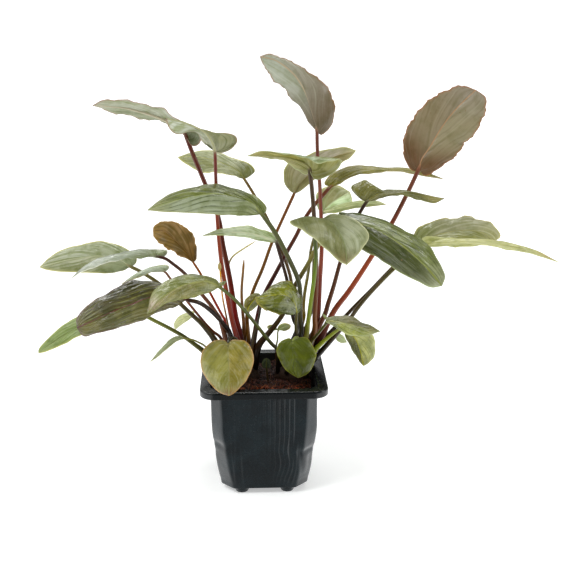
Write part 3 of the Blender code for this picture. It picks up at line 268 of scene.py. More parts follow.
LEAVES = {
    "leaf_upper_left": leaf(
        ("left", 0, 2), (2.36, 1.57), (28, 8), (-9, 9),
        "185,133 190,147 205.5,184.6 218,215 222,240 230,280 236,320 240,338",
        "174,123 160,116 143,111 120,107 92.5,105.6",
        "192,146 200,143 201,134 190,126 174,119 162,107 143,104 128,101 105,99.5",
        "182,132 172,127 164,123 155,121 139,117 131,117 117,114 103,109",
        # Its other side's colour is partly the underside's own olive and partly painted shadow, cast by the
        # blade in front on the hanging lobe.
        "b4b8a2949a78 4a4a1c 5c6636 b7b69e a58672 c2bb9f 88866f", "581405 4e0f05 930705",
        base_reach=0.36, tip_reach=0.3, cup=0.06, wave=(0.09, 3), veins=0.35, gloss=0.35, mottle=0.8,
        scallop=(0.9, 7)),
    "leaf_upper_left_front": leaf(
        ("left", 0, 1), (2.15, 1.2), (-6, -54), (12, 3),
        "215,152 216,185 217,215 221,260 228,300 232,320 237,338",
        "212,142 205,132 193,126 180,121 166,118.5",
        "222,153 231,149 236.6,140 233,134.5 216,131.5 200,129 182,122",
        "211,147 203,143 198,135 191,131 176,134 169,128",
        "a8a876c4cab4 6c7248 8a8c60 d8dccc 9c7f58 a8aa80 8c9070", "6d1a05 963205 931805",
        base_reach=0.5, tip_reach=0.5, wave=(0.05, 2), veins=0.4, gloss=0.55, mottle=0.9),
    "leaf_upper_left_back": leaf(
        ("right", -1, 2), (1.72, 1.08), (60, 84), (8, -8),
        "244,178.5 254,194.6 268,220 280,248 290,275 295,315 299,337",
        "238,171 222,163 200,157 177.7,157.3",
        "250,176 255,171 251,165 243,161 231,157 208,150 190,153",
        "239,178 235,176 223,173 206,173 194,169 181.5,161",
        "a9ad847c8040 7f8f58 707435 8b8e47 cbc87e a1a35d 696d2d", "6a5426 4c3c1e 22180c",
        base_reach=0.3, tip_reach=0.3, cup=0.05, veins=0.55, sheen=0.7, mottle=0.7),
    "leaf_long_left": leaf(
        ("right", -1, 1), (2.07, 1.62), (-20, -36), (13, -5),
        "262,214 276,234 288,257 298,279 300,291 300,315 301,333",
        "252,203 235,197 216,194 190,197 165,204 147.5,210.3",
        "265,213 266.4,207 258,198 248,193 235,188 223,186 206,185 181,190 160,200",
        "256,215 240,215 220,214.5 190,213 165,212",
        "757e32a6af8d a3ad88 7e8845 a3a464 b2b47c 919b59 3f4d1c", "4c5426 3c421e 1a180c",
        base_reach=0.3, tip_reach=0.3, cup=0.12, veins=0.9, gloss=0.6, sheen=0.6, mottle=0.6),
    "leaf_top": leaf(
        ("right", 0, 3), (2.13, 1.25), (4, 14), (4, 8),
        "317,131 317.7,160 319.5,180 321,216 321.9,248 320.5,270 317.7,319 314,333",
        "313,118 305.6,94 299,81 290,70.5 275.6,60.5 260,56.5",
        "321,135 329,129 333,121.5 334.6,106 328,87 318,79 302,67 289.6,61 270.5,54",
        "314,127 305.6,112.6 295,102 283,88 273,79 264,66",
        "9d9784b0b3a2 a0a07e 6c5a42 b2b8a4 94683c b8a688 807660", "6e3426 8a3a28 6a1e12",
        base_reach=0.62, tip_reach=0.5, cup=0.1, wave=(0.08, 4), veins=0.25, gloss=0.35, sheen=0.4,
        mottle=0.4, scallop=(0.8, 8)),
    "leaf_centre_pale": leaf(
        ("right", 1, 1), (1.98, 1.44), (-18, -42), (-6, 5),
        "309.6,168 312,190 314,216 315.5,246 316.4,276 315.4,300 314,333",
        "304,163 293,158 280,155.5 264,154 247.6,156",
        "315,179.6 329,175.5 339,168 341,161 332,160 318,161 302,158.5 280,152.5 262,151",
        "306,175 297,170 288,163 275,159 258,157",
        "aaa251bdb183 8fa37a a09d5b c5b168 b9bf8c 949359 72783c", "352305 67340e 77461d",
        tip_reach=0.3, cup=0.1, wave=(0.08, 3), veins=0.7, gloss=0.35, mottle=0.8),
    "leaf_centre_drooping": leaf(
        ("right", 0, 1), (1.89, 1.43), (-32, -70), (-4, -10),
        "322,219 317,228 314.8,242 316,254 314.3,276 311,300 306,337",
        "331,222 339,232 345,247 346.8,265", "331.6,214 345.7,216 361,224 369,236 361,251 354,258.5",
        "312,217.5 300,220.5 289.3,221 303,230 317.5,243 328,251 339,261",
        "9da27f797b47 8a9a6a 727743 7e6d40 c6c896 7f8852 686e3e", "2e4307 6f8712 96913b",
        base_reach=0.5, tip_reach=0.35, cup=0.1, wave=(0.04, 2), veins=0.35, gloss=0.2, mottle=0.6),
    "leaf_back_grey": leaf(
        ("left", 1, 3), (1.62, 1.2), (46, 70), (-6, 6),
        "294.5,193 278,229 271,245 262.5,269 252,294 247,320", "300,184 316,168 334,157 356,150.5",
        "290,191 284,182 285,169 292,160 302.5,157 316,152 329,149 345,147",
        "303,189 313,181 328,172 343,162 350,158",
        "b9af9893874a 8a9068 a19b68 c0b97d c3c47c b4a773 958e56", "763f05 734905 8c5b05",
        tip_reach=0.3, gloss=0.25, sheen=0.4),
    "leaf_right_back": leaf(
        ("left", 1, 2), (1.85, 1.44), (22, 20), (8, -6),
        "331,186 324,194 318,201 305,217 301,227 288,250 278,269 266,291 259,309 255,333",
        "342,179 357,172 375,169.5 396,169.5 420,173 443,179",
        "324,184 331,174 343.5,168 350.5,166 368,166 383.5,167.5 408,169 428,173",
        "340,184 347,179 357.5,175.5 371.6,173 389,171.5 408.7,173 428,177",
        "857f0c 9ba070 777109 948710 b5a870 a29924 676207", "5e2607 430b05 521505",
        tip_reach=0.3, wave=(0.04, 3), veins=0.6, gloss=0.45),
    "leaf_right_bronze": leaf(
        ("right", 2, 2), (2.39, 1.54), (12, 20), (3, -3),
        "419,168.5 409,190 392,223 371.7,256.4 349.7,290 338,305 330.6,317 319,341",
        "421.7,159 430,147 440,130 450,116 462,103 476,90",
        "412.5,171 405.5,161 403,147 406,131 414,116 425,104 433,97 447,90 461.6,85.5",
        "425,175.7 437,170 446,163 456,156 466,142 474,135 479,126 485.5,112 485,97",
        "8e8062968c6c a4957a 6a4626 9a907e a0663a b48c64 705f3d", "6e3a2b a04626 68251b",
        base_reach=0.34, tip_reach=0.5, cup=0.05, wave=(0.1, 4), veins=0.4, gloss=0.22, sheen=0.15,
        mottle=0.3, scallop=(1.1, 9)),
    "leaf_centre_glossy": leaf(
        ("right", -1, 0), (1.54, 1.21), (-20, -34), (9, -3),
        "297,313 296,326 297,340", "294,302 286,295 272,295 255,298",
        "301,308 300,295 296,286 289.6,282 279,282 272,285 266,292",
        "291,315 283,314 275.6,313 265,310 257,303",
        "878c09696f05 8fa662 626c05 a19f0c a89a40 9c9c18 465205", "4a4a20 3a3216 2a1a0c",
        cup=0.16, wave=(0.1, 3), gloss=1, sheen=0.3, mottle=1, roll=1.6),
    "leaf_centre_small": leaf(
        ("left", 1, 0), (1.1, 0.88), (-9, -15), (4, -2),
        "260,297 260,312 256,328 253,342", "255,299 250,305 247,312",
        "259,293.5 252,294 246,299 244,306", "260,302 256,307 251,311",
        "776e059d9c7f 7f9a50 767505 a89705 a8a850 a6a305 656305", "272706 262305 754a0b",
        cup=0.12, wave=(0.06, 2), veins=0.6, gloss=0.7, sheen=0.1, mottle=0.9),
    "leaf_right_large": leaf(
        ("left", 2, 2), (1.91, 1.56), (-6, -56), (10, -4),
        "338,215 317,247 305,270 296,283 283,314 267,335 258,347",
        "352,221 375,229 400,244 424,265 442,286",
        "341,212 361,217 377,221 391,224 404,229 415,235 429,247 437,257.5 445,275",
        "340,222 350,240 363,251 377,257.5 391,266 402,274 419,282 431,287.5",
        "707a34484f1a 8c9c6c 4c561a b0b492 a9b47e 82893e 34400e", "929043 423706 2d1705",
        base_reach=0.3, tip_reach=0.3, cup=0.12, veins=0.8, gloss=0.6, sheen=0.3, mottle=0.6,
        lines=(4, 4.4)),
    "leaf_right_small_dark": leaf(
        ("right", 1, 2), (2.21, 1.32), (10, -4), (6, -6),
        "367,201 358,216 348,240 340.3,262 338,270 332.5,290 323.6,317",
        "378,194 392,193 410,194 428,197.5 444.5,198.6",
        "358,197 351,187 360,182 366,180 373,185 380,190.5 388,190 410,191 423,194 435,197",
        "374,201 381,198 389,196 402,196 417,199 433,203.5",
        "716f27 8a9670 7f7b30 bfaf5d 8f9058 9f9c4d 4c4e16", "1b0605 512b15 601d07",
        base_reach=0.3, cup=0.12, wave=(0.06, 3), veins=0.7, gloss=0.7, sheen=0.7, mottle=0.7),
    "leaf_back_broad": leaf(
        ("right", -1, 3), (1.62, 1.08), (68, 86), (6, -2),
        "322,214 316,232 311,249 308.6,270 304,298 303,320", "328,206 337,199 350,192",
        "318,208 316,195 325,187 338,185.5", "330,213 343,211 352,202",
        "a29e6acee6af 9aa868 a0ae76 c0c89c ccc886 c7cc9e 93a166", "545312 5f5705 967815",
        wave=(0.04, 2), mottle=0.8),
    "leaf_back_slender": leaf(
        ("right", 0, 4), (1.32, 0.99), (50, 38), (6, -3),
        "322,212 317,232 314,255 313,280 312,310", "338,208.5 354,205 370,203.5 386,204.5",
        "327.5,208.6 338,205 352,202 375,200.5", "340,211 354,208.5 366,207 376,206",
        "b0ba76 98a664 9cab66 bcc488 c8c480 c4ca90 8f9f58", "3b4007 574e06 563105",
        wave=(0.04, 2)),
    "leaf_far_right_wavy": leaf(
        ("right", 1, 3), (1.65, 1.22), (24, 34), (10, -8),
        "421,243 405,256 390,270 370,291 357,304 340,322", "440,234 460,230 480,232 495,241",
        "414,240 415,232 423.5,224.5 440,219.5 455,217.5 475,217.5 487,222 499,230 500,237",
        "430,243.5 446,243 460,243 478,242.5",
        "b8b691898a45 8a9868 8e9456 b2ad6a d0c67a b9b677 81874a", "5a4818 3a2c12 1a0f06",
        base_reach=0.3, wave=(0.14, 5), gloss=0.35, scallop=(0.8, 6)),
    "leaf_far_right_long": leaf(
        ("right", 2, 3), (1.9, 1.33), (-4, -22), (5, -9),
        "426,245 410,255.5 393,269.5 372,291 360,305 348,321",
        "446,243 470,242 496,244.5 520,249 540,254.5 558,262",
        "421,240 428,236 446,238 470,238.5 487,240 510,243 535,250",
        "432,247 446,246.5 461,247 487,246 512,250 535,255",
        "c6c581 a8b88a b7b971 d9b27d c6c888 ddd89b 9ea75a", "55500e 453c18 241a0c",
        base_reach=0.3, tip_reach=0.22, wave=(0.04, 3), gloss=0.5),
    "leaf_far_left": leaf(
        ("left", -2, 2), (2.16, 1.3), (4, 10), (8, -4),
        "130,266.5 139,270.6 160,284.3 177.5,301 191,314 202,324 214,339",
        "118,259 98,256 72,259 39.6,267.3",
        "136,263 136,256 129,250.4 119,245 102,241.5 88,243 67,248 50,257",
        "125,270 119,271.5 105,273.5 84,272.5 63,272 47,270",
        "b1b798a4a782 92a268 97a176 b8bb9d d2cc82 c0c499 8a9569", "6c6434 4a4422 1c1a0c",
        gloss=0.35, mottle=0.9),
    "leaf_left_silver": leaf(
        ("left", -2, 1), (2.04, 1.2), (-18, -42), (11, -9),
        "157,256.5 165,258 172,263 186,274.5 201.6,294 213,308 221,322",
        "145,253 125,255 105,260 88,267 72,278",
        "165,256 167.5,250.6 160,249 147.5,249.6 129,251.5 105,257 84,266.6",
        "155,257 145,256 126,258 105,264 84,271",
        "a6b098 c3ccbe 7c8650 c4cabc e0e2cc 9ca680 8a9672", "361005 6b320b 5a2a07",
        base_reach=0.3, tip_reach=0.8, cup=0.1, veins=0.4, gloss=0.85),
    "leaf_left_pale_small": leaf(
        ("left", -2, 3), (1.26, 0.92), (-4, -10), (6, -6),
        "165,271 171,279.4 188.3,302.5 209.5,328 221,338", "156,269 140,273.5 122,284",
        "169,268 166,264.5 152,267 137,273", "160,272 150,273 135,279",
        "bcc6b0 a2b088 a8b494 c6cebc ccc890 c8ceb0 9aa684", "8a5434 7a3a20 4a200e",
        wave=(0.04, 2), veins=0.3, gloss=0.4),
    "leaf_left_dark": leaf(
        ("left", -1, 1), (1.9, 1.5), (-22, -44), (8, -4),
        "187,300 199,302.5 210,310 221,321 229.6,333", "172,293 148,298 133,304 119,309 99,318 77,328",
        "186,293 176,287 160.5,284 139,279.4 130,281 119,287 104,294.5 93,301 77.6,316.5",
        "178,301 165.6,305 159,311 148,317 126,326 111,330 97,333 84,336.6",
        "4e45146c662e 565030 5b4a19 766d30 6e4640 6e3a30 c4c96d", "0f0505 0f0505 100505",
        base_reach=0.3, tip_reach=0.35, cup=0.12, wave=(0.06, 3), veins=0.35, gloss=1, sheen=0.2,
        mottle=1, lines=(2.2, 5.2)),
    "leaf_left_glossy": leaf(
        ("right", -3, 1), (1.57, 1.21), (-44, -68), (9, -4),
        "219,286.5 233.5,298 245,311 253,320.5 266,337 278,351",
        "205,281 190,283 172,291 158,302 147,314",
        "227,281 217,283 211,277 200,275 190,275 179,276 169,279 159.5,286 151,296",
        "214,288.5 209,290 200,293.4 192,297.6 179,300 166.5,303 156,310",
        "919753a09856 8aa468 898d46 cca99e 8f9450 9ea15b 74793c", "4c5a1c 48541e 2c3012",
        tip_reach=0.3, cup=0.14, veins=0.45, gloss=0.9, sheen=0.8, mottle=1, roll=1.2, sheath=0.1),
    "leaf_left_bronze": leaf(
        ("left", -1, 3), (1.17, 0.9), (30, 48), (3, -3),
        "193,262 201,274.5 209.4,291.5 226,322.5", "186,251 175,240 164,231 153,231",
        "196.5,259 196.7,249 196,242 191,232 185,227 178,223 168,221 160.5,222 154,226",
        "185,258 177,254 165,247 159,243 154,237",
        "967542816114 8c7c58 78561b 9b7932 b08a48 8b6c3e 604516", "8b4505 951b05 c0270a",
        base_reach=0.35, tip_reach=0.35, cup=0.05, wave=(0.1, 4), veins=0.25, gloss=0.1, sheen=0.1,
        mottle=0.8, scallop=(0.5, 6), roll=0.3),
    "leaf_inner_left": leaf(
        ("right", -2, 2), (1.72, 1.26), (6, -24), (5, -4),
        "276,241 280,255 285,272 287.5,282 292.5,315 297,330", "262,236 245,232.5 224,232.5 203,235.6",
        "277,237 274.5,234 266,230.5 260,229.5 248,226 236,226.5 217,230",
        "271,242.5 262,241 254,239 240,237 225,235.5",
        "d9e5be 8aa05c c6d6a3 e7edd3 c0c67e dde6be a9c184", "391905 251d05 120505",
        wave=(0.04, 2), gloss=0.35, mottle=0.9),
    "leaf_front_left_heart": leaf(
        ("left", 0, 0), (1.3, 0.9), (-47, -54), (3, 3),
        "228,345 228.5,340 233,337 238,341 241,350", "228.5,358 229,372 229,385 228.8,395.8",
        "224,340 213,341 203,350 201,358 201,365 203,373 208,381 219,392",
        "232,340 239,340 245,341 250,346 253.5,356 253,366 249,375 245,382 238.5,389 233,394",
        "9995459a8b2f 8a7e4c 908737 7a4819 bf9048 938f4b 7b7227", "192405 211605 60491e",
        base_reach=0.3, tip_reach=0.25, cup=0.1, wave=(0.04, 3), veins=0.12, gloss=0.75, sheen=0.35,
        mottle=0.6, roll=1.4, quilt=0.25),
    "leaf_front_right_heart": leaf(
        ("right", 0, 0), (1.2, 0.9), (-20, -27), (2, 2),
        "292.5,342 294,338 298,337 301,346", "293.5,352 295.5,363 298.5,378",
        "289,338 280,342 277,348 277,354 282,364.5 286,370 292.5,375",
        "297,338.5 304.5,337 309,340 315,350 316.4,355 312,368 307,374",
        "5f69055a6305 5c6a34 606d05 676d05 8c9030 555f0f 414b05", "acbb5f 352505 f9cf83",
        base_reach=0.3, tip_reach=0.3, cup=0.06, wave=(0.04, 3), veins=0.25, gloss=0.55, sheen=0,
        mottle=0.6, quilt=0.6),
    "leaf_low_right_glossy": leaf(
        ("right", 1, 0), (1.49, 1.1), (-20, -28), (7, -5),
        "328,321 320,331 312,340.5", "338,322 352,325 366,329 380,331.5",
        "322,313 327,317 336,316 345,316 354,317 361,322 370,325",
        "325.5,321.5 333,326 341.5,331.5 348,335 357,336 367,336",
        "86804eb9be58 8fa662 858c3b aea464 c2ca8c b4b571 767f32", "3c4305 494605 2b1f05",
        base_reach=0.3, cup=0.14, wave=(0.04, 2), veins=0.6, gloss=1, sheen=1, mottle=1),
    "leaf_low_right_hanging": leaf(
        ("right", 2, 1), (1.49, 1.1), (0, 2), (4, 6),
        "348,332 344,327 339,329 325,340 315,349.5", "355,338 360,350 363.5,366",
        "344.6,334 348.5,343 354,353 360,362", "356,329 366,330 373,336 375.6,346 374,356 369,363",
        "5f5e05b9ba62 8ca460 787b05 928d05 c2c880 a2a005 676e05", "828b39 96a71a 708106",
        base_reach=0.3, cup=0.1, veins=0.6, gloss=0.6, sheen=0.7, mottle=1),
    "leaf_low_right_tiny": leaf(
        ("right", 1, 4), (0.8, 0.6), (28, 30), (3, -2),
        "336,336 328,343 321,350", "341,338 347,342.5", "338,333.5 343,335.5", "336.5,340 341,343",
        "b6c48a a0b070 a6b678 c0cc98 ccd09a c4d09c 92a464", "0e0505 190505 1d0505",
        wave=(0.03, 2), veins=0.4, gloss=0.4),
    "leaf_far_left_low": leaf(
        ("left", -3, 1), (1.62, 1.38), (-4, -14), (5, -7),
        "144,315 155,321 167,327 183,336 194,344 202,350", "125,312 100,318 70,332 38.6,353.3",
        "147,310 138,305 120,303 100,306 75,318 56,331 40,347",
        "138,319 120,322 100,329 78,337 64,344 47,351.5",
        "8c9f58 92a456 7d9048 93a664 ccce7c a4b070 7c8f4a", "7c8438 5c602c 3a2c14",
        base_reach=0.3, tip_reach=0.3, cup=0.1, veins=0.6, gloss=0.4, sheen=0.3, mottle=0.8),
    "leaf_back_pale_small": leaf(
        ("left", -3, 3), (0.92, 0.69), (26, 30), (4, -2),
        "193,316 200,322 212,334", "186,318 180,323 175,330", "194,311 186,313 178,317 174,324",
        "189,320 184,323 179,327",
        "e3e6ac aab880 d0d697 ecedb9 d8d8a8 e4e8b2 bdc586", "254505 4e8814 9cac1e",
        wave=(0.03, 2), veins=0.3),
    "leaf_low_left_thin": leaf(
        ("left", -1, 0), (0.88, 0.66), (-10, -14), (5, -5),
        "183,338 194,340 205,346", "176,339.5 169,344 161,352 150.4,362",
        "180,336 174,337 166,343 158,352", "180,340 174,343 167,349 159,356",
        "c4ce9c aab880 b4be88 ccd2a6 d6d8a8 ccd4a4 a2ae78", "828125 8a864d 9a441d",
        wave=(0.03, 2), veins=0.3),
    "leaf_thread_stem": leaf(
        ("left", -1, 2), (0.9, 0.6), (-6, -7), (2, -2),
        "220,271 221.5,285 222.6,298 228,325", "219.3,267 219.5,262", "217.8,268 218.2,264.5",
        "221.4,268 220.9,264.5",
        "b8a04e a08a40 b09040 c0a858 ccb468 c8b060 9a8438", "f9b107 9e6205 993c05",
        cup=0.05, wave=(0.02, 2), veins=0.3),
    "leaf_shadow_small": leaf(
        ("soil", 4, -7), (0.8, 0.7), (-9, -10), (1, 1),
        "266.5,367.5 266.8,371", "266.5,363 266.5,358", "263.5,368 262,364 263.5,359.5",
        "269.5,368 271,364 269.5,359.5",
        # Its colours are painted dark for the shade it stands in between the hearts.
        "2c3a1c 34401e 28341a 35441f 48502a 465228 1e2812", "3a3a1c 322b17 2a1c12",
        cup=0.05, wave=(0.03, 2), veins=0.4, gloss=0.4),
    "seedling": leaf(
        ("soil", 10.5, 17), (0.8, 0.6), (18, 17), (2, -2),
        "277.5,330 277.7,339 276,347", "284,326.5 291,326", "279,325.5 284,323 289,324",
        "281,330.5 285,331 289.5,329",
        "b2c276 9cae62 a4b468 bac884 dcd27e c0cc88 94a65c", "9aa850 4e2a05 301f05",
        wave=(0.03, 2), veins=0.3, gloss=0.35,
        twin=dict(depth=(18, 19), lean=(1, -1), rib=pixels("272,328 266.8,327"),
                  side_a=pixels("274,325 269,325"), side_b=pixels("274,330.5 269,330"))),
}

# The unfurled shoot and the thread leaf are rolled up and have no open blade: stem and colours as in
# a leaf, and the share of the petiole's radius that the spike has.
SPIKES = {
    "shoot_unfurled": dict(
        root=("left", 0, 4), radius=(1.7, 0.9), depth=(0, 0), colours="9a6c30 8a5c2c 7a4c28", stout=1.0,
        stem=pixels("244,259 243,272 241.6,291 242.5,310 244,326")),
    "leaf_thread": dict(
        root=("left", 1, 4), radius=(0.8, 0.35), depth=(22, 22), colours="d0c47e ae9f61 8c7a44", stout=1.7,
        stem=pixels("256,241 243,249 230,259.5 229,275 232,300 238,325")),
}


def at(pixel, depth):
    """Point in millimetres that shows at this pixel of the photograph and has Y = depth."""
    right = (pixel[0] - PHOTO_SIZE / 2) / PHOTO_FOCAL
    up = (PHOTO_SIZE / 2 - pixel[1]) / PHOTO_FOCAL
    pitch, turn = math.radians(CAMERA_PITCH), math.radians(CAMERA_TURN)
    forward = math.cos(pitch) + up * math.sin(pitch)
    rise = up * math.cos(pitch) - math.sin(pitch)
    ray_x = right * math.cos(turn) + forward * math.sin(turn)
    ray_y = forward * math.cos(turn) - right * math.sin(turn)
    reach = (depth - CAMERA[1]) / ray_y
    return np.array((CAMERA[0] + ray_x * reach, depth, CAMERA[2] + rise * reach))


def ray_step(point, push):
    """Move a point along its line of sight by about push millimetres in depth."""
    camera = np.array(CAMERA)
    return camera + (point - camera) * (1.0 + push / (point[:, 1] - camera[1]))[:, None]


def lengths(line):
    """Length of a line up to each of its points."""
    return np.concatenate([[0.0], np.cumsum(np.linalg.norm(np.diff(line, axis=0), axis=1))])


def pick(line, run, where):
    """Points of a line at these lengths."""
    return np.stack([np.interp(where, run, line[:, k]) for k in range(line.shape[1])], axis=1)


def spread(points, count):
    """Evenly spaced points on a smooth curve through the given points, or points at shares of it."""
    points = np.asarray(points, dtype=float)
    before = np.vstack([2 * points[0] - points[1], points[:-1]])
    after = np.vstack([points[1:], 2 * points[-1] - points[-2]])
    after_next = np.vstack([after[1:], 2 * after[-1] - points[-1]])
    fine = []
    for i in range(len(points) - 1):
        for t in np.linspace(0.0, 1.0, CURVE_STEPS)[:-1]:
            fine.append(0.5 * ((2 * points[i]) + (after[i] - before[i]) * t
                               + (2 * before[i] - 5 * points[i] + 4 * after[i] - after_next[i]) * t ** 2
                               + (3 * points[i] - before[i] - 3 * after[i] + after_next[i]) * t ** 3))
    fine = np.array(fine + [points[-1]])
    run = lengths(fine)
    where = np.asarray(count) * run[-1] if np.ndim(count) else np.linspace(0.0, run[-1], count)
    return pick(fine, run, where)


def root_point(root):
    place, a, b = root
    if place == "soil":
        return np.array((a, b, SOIL_TOP - SOIL_ROOTED))
    offset_x = (a + 0.5 * (b % 2)) * SLOT_STEP
    offset_y = SLOT_FRONT + b * SLOT_STEP
    inside = max(0.05, 1.0 - (offset_x / CROWN_SIZE[0]) ** 2 - (offset_y / CROWN_SIZE[1]) ** 2)
    rise = ROOT_DEPTH * CROWN_SIZE[2] * math.sqrt(inside)
    return np.array(CROWNS[place]) + (offset_x, offset_y, rise)


def stem_path(spec):
    """Centre line of a petiole from the joint down to its root, in millimetres."""
    root = root_point(spec["root"])
    share = np.linspace(0.0, 1.0, STEM_KNOTS) ** STEM_BOW
    joint_depth = spec["depth"][0]
    low_depth = joint_depth + (root[1] - joint_depth) * STEM_ROOT_PULL
    depths = joint_depth + (low_depth - joint_depth) * share
    seen = spread(spec["stem"], STEM_KNOTS)
    points = np.array([at(pixel, depth) for pixel, depth in zip(seen, depths)] + [root])
    length = np.linalg.norm(np.diff(points, axis=0), axis=1).sum()
    return spread(points, max(STEM_LEAST, int(length / STEM_SAMPLE)))


def stem_radii(spec, count):
    low, high = spec["radius"]
    return high + (low - high) * np.linspace(0.0, 1.0, count) ** STEM_TAPER


def settle(paths, radii):
    """Slide petioles along their lines of sight until none runs through another."""
    names = list(paths)
    for _ in range(SETTLE_ROUNDS):
        push = {name: np.zeros(len(paths[name])) for name in names}
        busy = False
        for i, first in enumerate(names):
            for second in names[i + 1:]:
                a, b = paths[first], paths[second]
                if (np.maximum(a.min(0) - b.max(0), b.min(0) - a.max(0)) > SETTLE_NEAR).any():
                    continue
                delta = a[:, None, :] - b[None, :, :]
                wanted = radii[first][:, None] + radii[second][None, :] + STEM_CLEAR
                short = wanted - np.sqrt((delta ** 2).sum(-1))
                short[:, -1] = np.minimum(short[:, -1], 0.0)
                short[-1, :] = np.minimum(short[-1, :], 0.0)
                for p, q in zip(*np.where(short > 0.0)):
                    busy = True
                    move = SETTLE_PUSH * short[p, q] * (1.0 if delta[p, q, 1] >= 0.0 else -1.0)
                    push[first][p] += move
                    push[second][q] -= move
        if not busy:
            break
        for name in names:
            move = np.clip(push[name], -SETTLE_STEP, SETTLE_STEP)
            move[[0, -1]] = 0.0
            soft = np.convolve(np.pad(move, 2), SETTLE_SOFT, mode="valid")
            soft[[0, -1]] = 0.0
            paths[name] = ray_step(paths[name], soft)
    return paths


def rgb(code):
    """Linear colour of an sRGB hex code."""
    values = [int(code[i:i + 2], 16) / 255 for i in (0, 2, 4)]
    return tuple(v / 12.92 if v <= 0.04045 else ((v + 0.055) / 1.055) ** 2.4 for v in values) + (1.0,)


def smooth(x, low, high):
    """Smooth step from 0 at low to 1 at high; low may be the greater."""
    t = np.clip((np.asarray(x, dtype=float) - low) / (high - low), 0.0, 1.0)
    return t * t * (3.0 - 2.0 * t)


class Skin:
    """A material whose colour, roughness and bump are put together from small steps."""

    def __init__(self, name, colour="ffffff"):
        self.material = bpy.data.materials.new(name)
        self.material.use_nodes = True
        self.tree = self.material.node_tree
        self.shader = self.tree.nodes["Principled BSDF"]
        self.place = self.node("TexCoord", output="Object")
        self.colour = colour
        self.relief = None

    def put(self, socket, value):
        """Links a socket, or sets its value; a text is a colour."""
        if isinstance(value, bpy.types.NodeSocket):
            self.tree.links.new(value, socket)
        else:
            socket.default_value = rgb(value) if isinstance(value, str) else value

    def node(self, kind, inputs=None, output=0, **settings):
        """Adds a node with these inputs and settings; gives one of its outputs."""
        node = self.tree.nodes.new("ShaderNode" + kind)
        for key, value in settings.items():
            setattr(node, key, value)
        for key, value in (inputs or {}).items():
            self.put(node.inputs[key], value)
        return node.outputs[output]

    def attr(self, name):
        return self.node("Attribute", output="Fac", attribute_name=name)

    def math(self, operation, *values):
        return self.node("Math", dict(enumerate(values)), operation=operation)

    def times(self, a, b):
        return self.math("MULTIPLY", a, b)

    def teeth(self, value):
        """Triangle wave between 0 and 1, one tooth for each step of 1."""
        return self.times(self.math("PINGPONG", value, 0.5), 2.0)

    def step(self, value, low, high, out_low=0.0, out_high=1.0):
        """Smooth step from out_low at low to out_high at high; low may be the greater."""
        if low > high:
            low, high, out_low, out_high = high, low, out_high, out_low
        ends = {"From Min": low, "From Max": high, "To Min": out_low, "To Max": out_high}
        return self.node("MapRange", dict(ends, Value=value), interpolation_type="SMOOTHSTEP")

    def mix(self, factor, a, b, blend="MIX"):
        return self.node("Mix", {0: factor, 6: a, 7: b}, 2, data_type="RGBA", blend_type=blend)

    def paint(self, tint, value, *between):
        """Lays a tint on the colour so far: by a factor, or where a value goes from low to high."""
        if between:
            low, high, strength = (between + (1.0,))[:3]
            value = self.step(value, low, high, 0.0, strength)
        self.colour = self.mix(value, self.colour, tint)

    def noise(self, size, detail=3.0, stretch=(1.0, 1.0, 1.0), seed=0.0, place=None):
        """Noise of a size in millimetres, or in the unit of the place that is given."""
        moved = {"Scale": stretch, "Location": (seed, 0.37 * seed, -seed), "Vector": place or self.place}
        scale = 1.0 / (size * MM) if place is None else 1.0 / size
        inputs = {"Scale": scale, "Detail": detail, "Vector": self.node("Mapping", moved)}
        return self.node("TexNoise", inputs, "Fac")

    def vector(self, *values):
        return self.node("CombineXYZ", dict(enumerate(values)))

    def split(self, axis):
        return self.node("SeparateXYZ", {0: self.place}, axis)

    def bump(self, height, strength, distance):
        """Adds a relief to the one so far, its height in millimetres."""
        inputs = {"Strength": strength, "Distance": distance * MM, "Height": height}
        if self.relief:
            inputs["Normal"] = self.relief
        self.relief = self.node("Bump", inputs)

    def finish(self, roughness, specular=0.5, coat=0.0, coat_roughness=0.1):
        values = {"Base Color": self.colour, "Roughness": roughness, "Specular IOR Level": specular,
                  "Coat IOR": 1.6, "Coat Weight": coat, "Coat Roughness": coat_roughness}
        if self.relief:
            values["Normal"] = self.relief
            if coat > 0.0:
                values["Coat Normal"] = self.relief
        for key, value in values.items():
            self.put(self.shader.inputs[key], value)
        return self.material


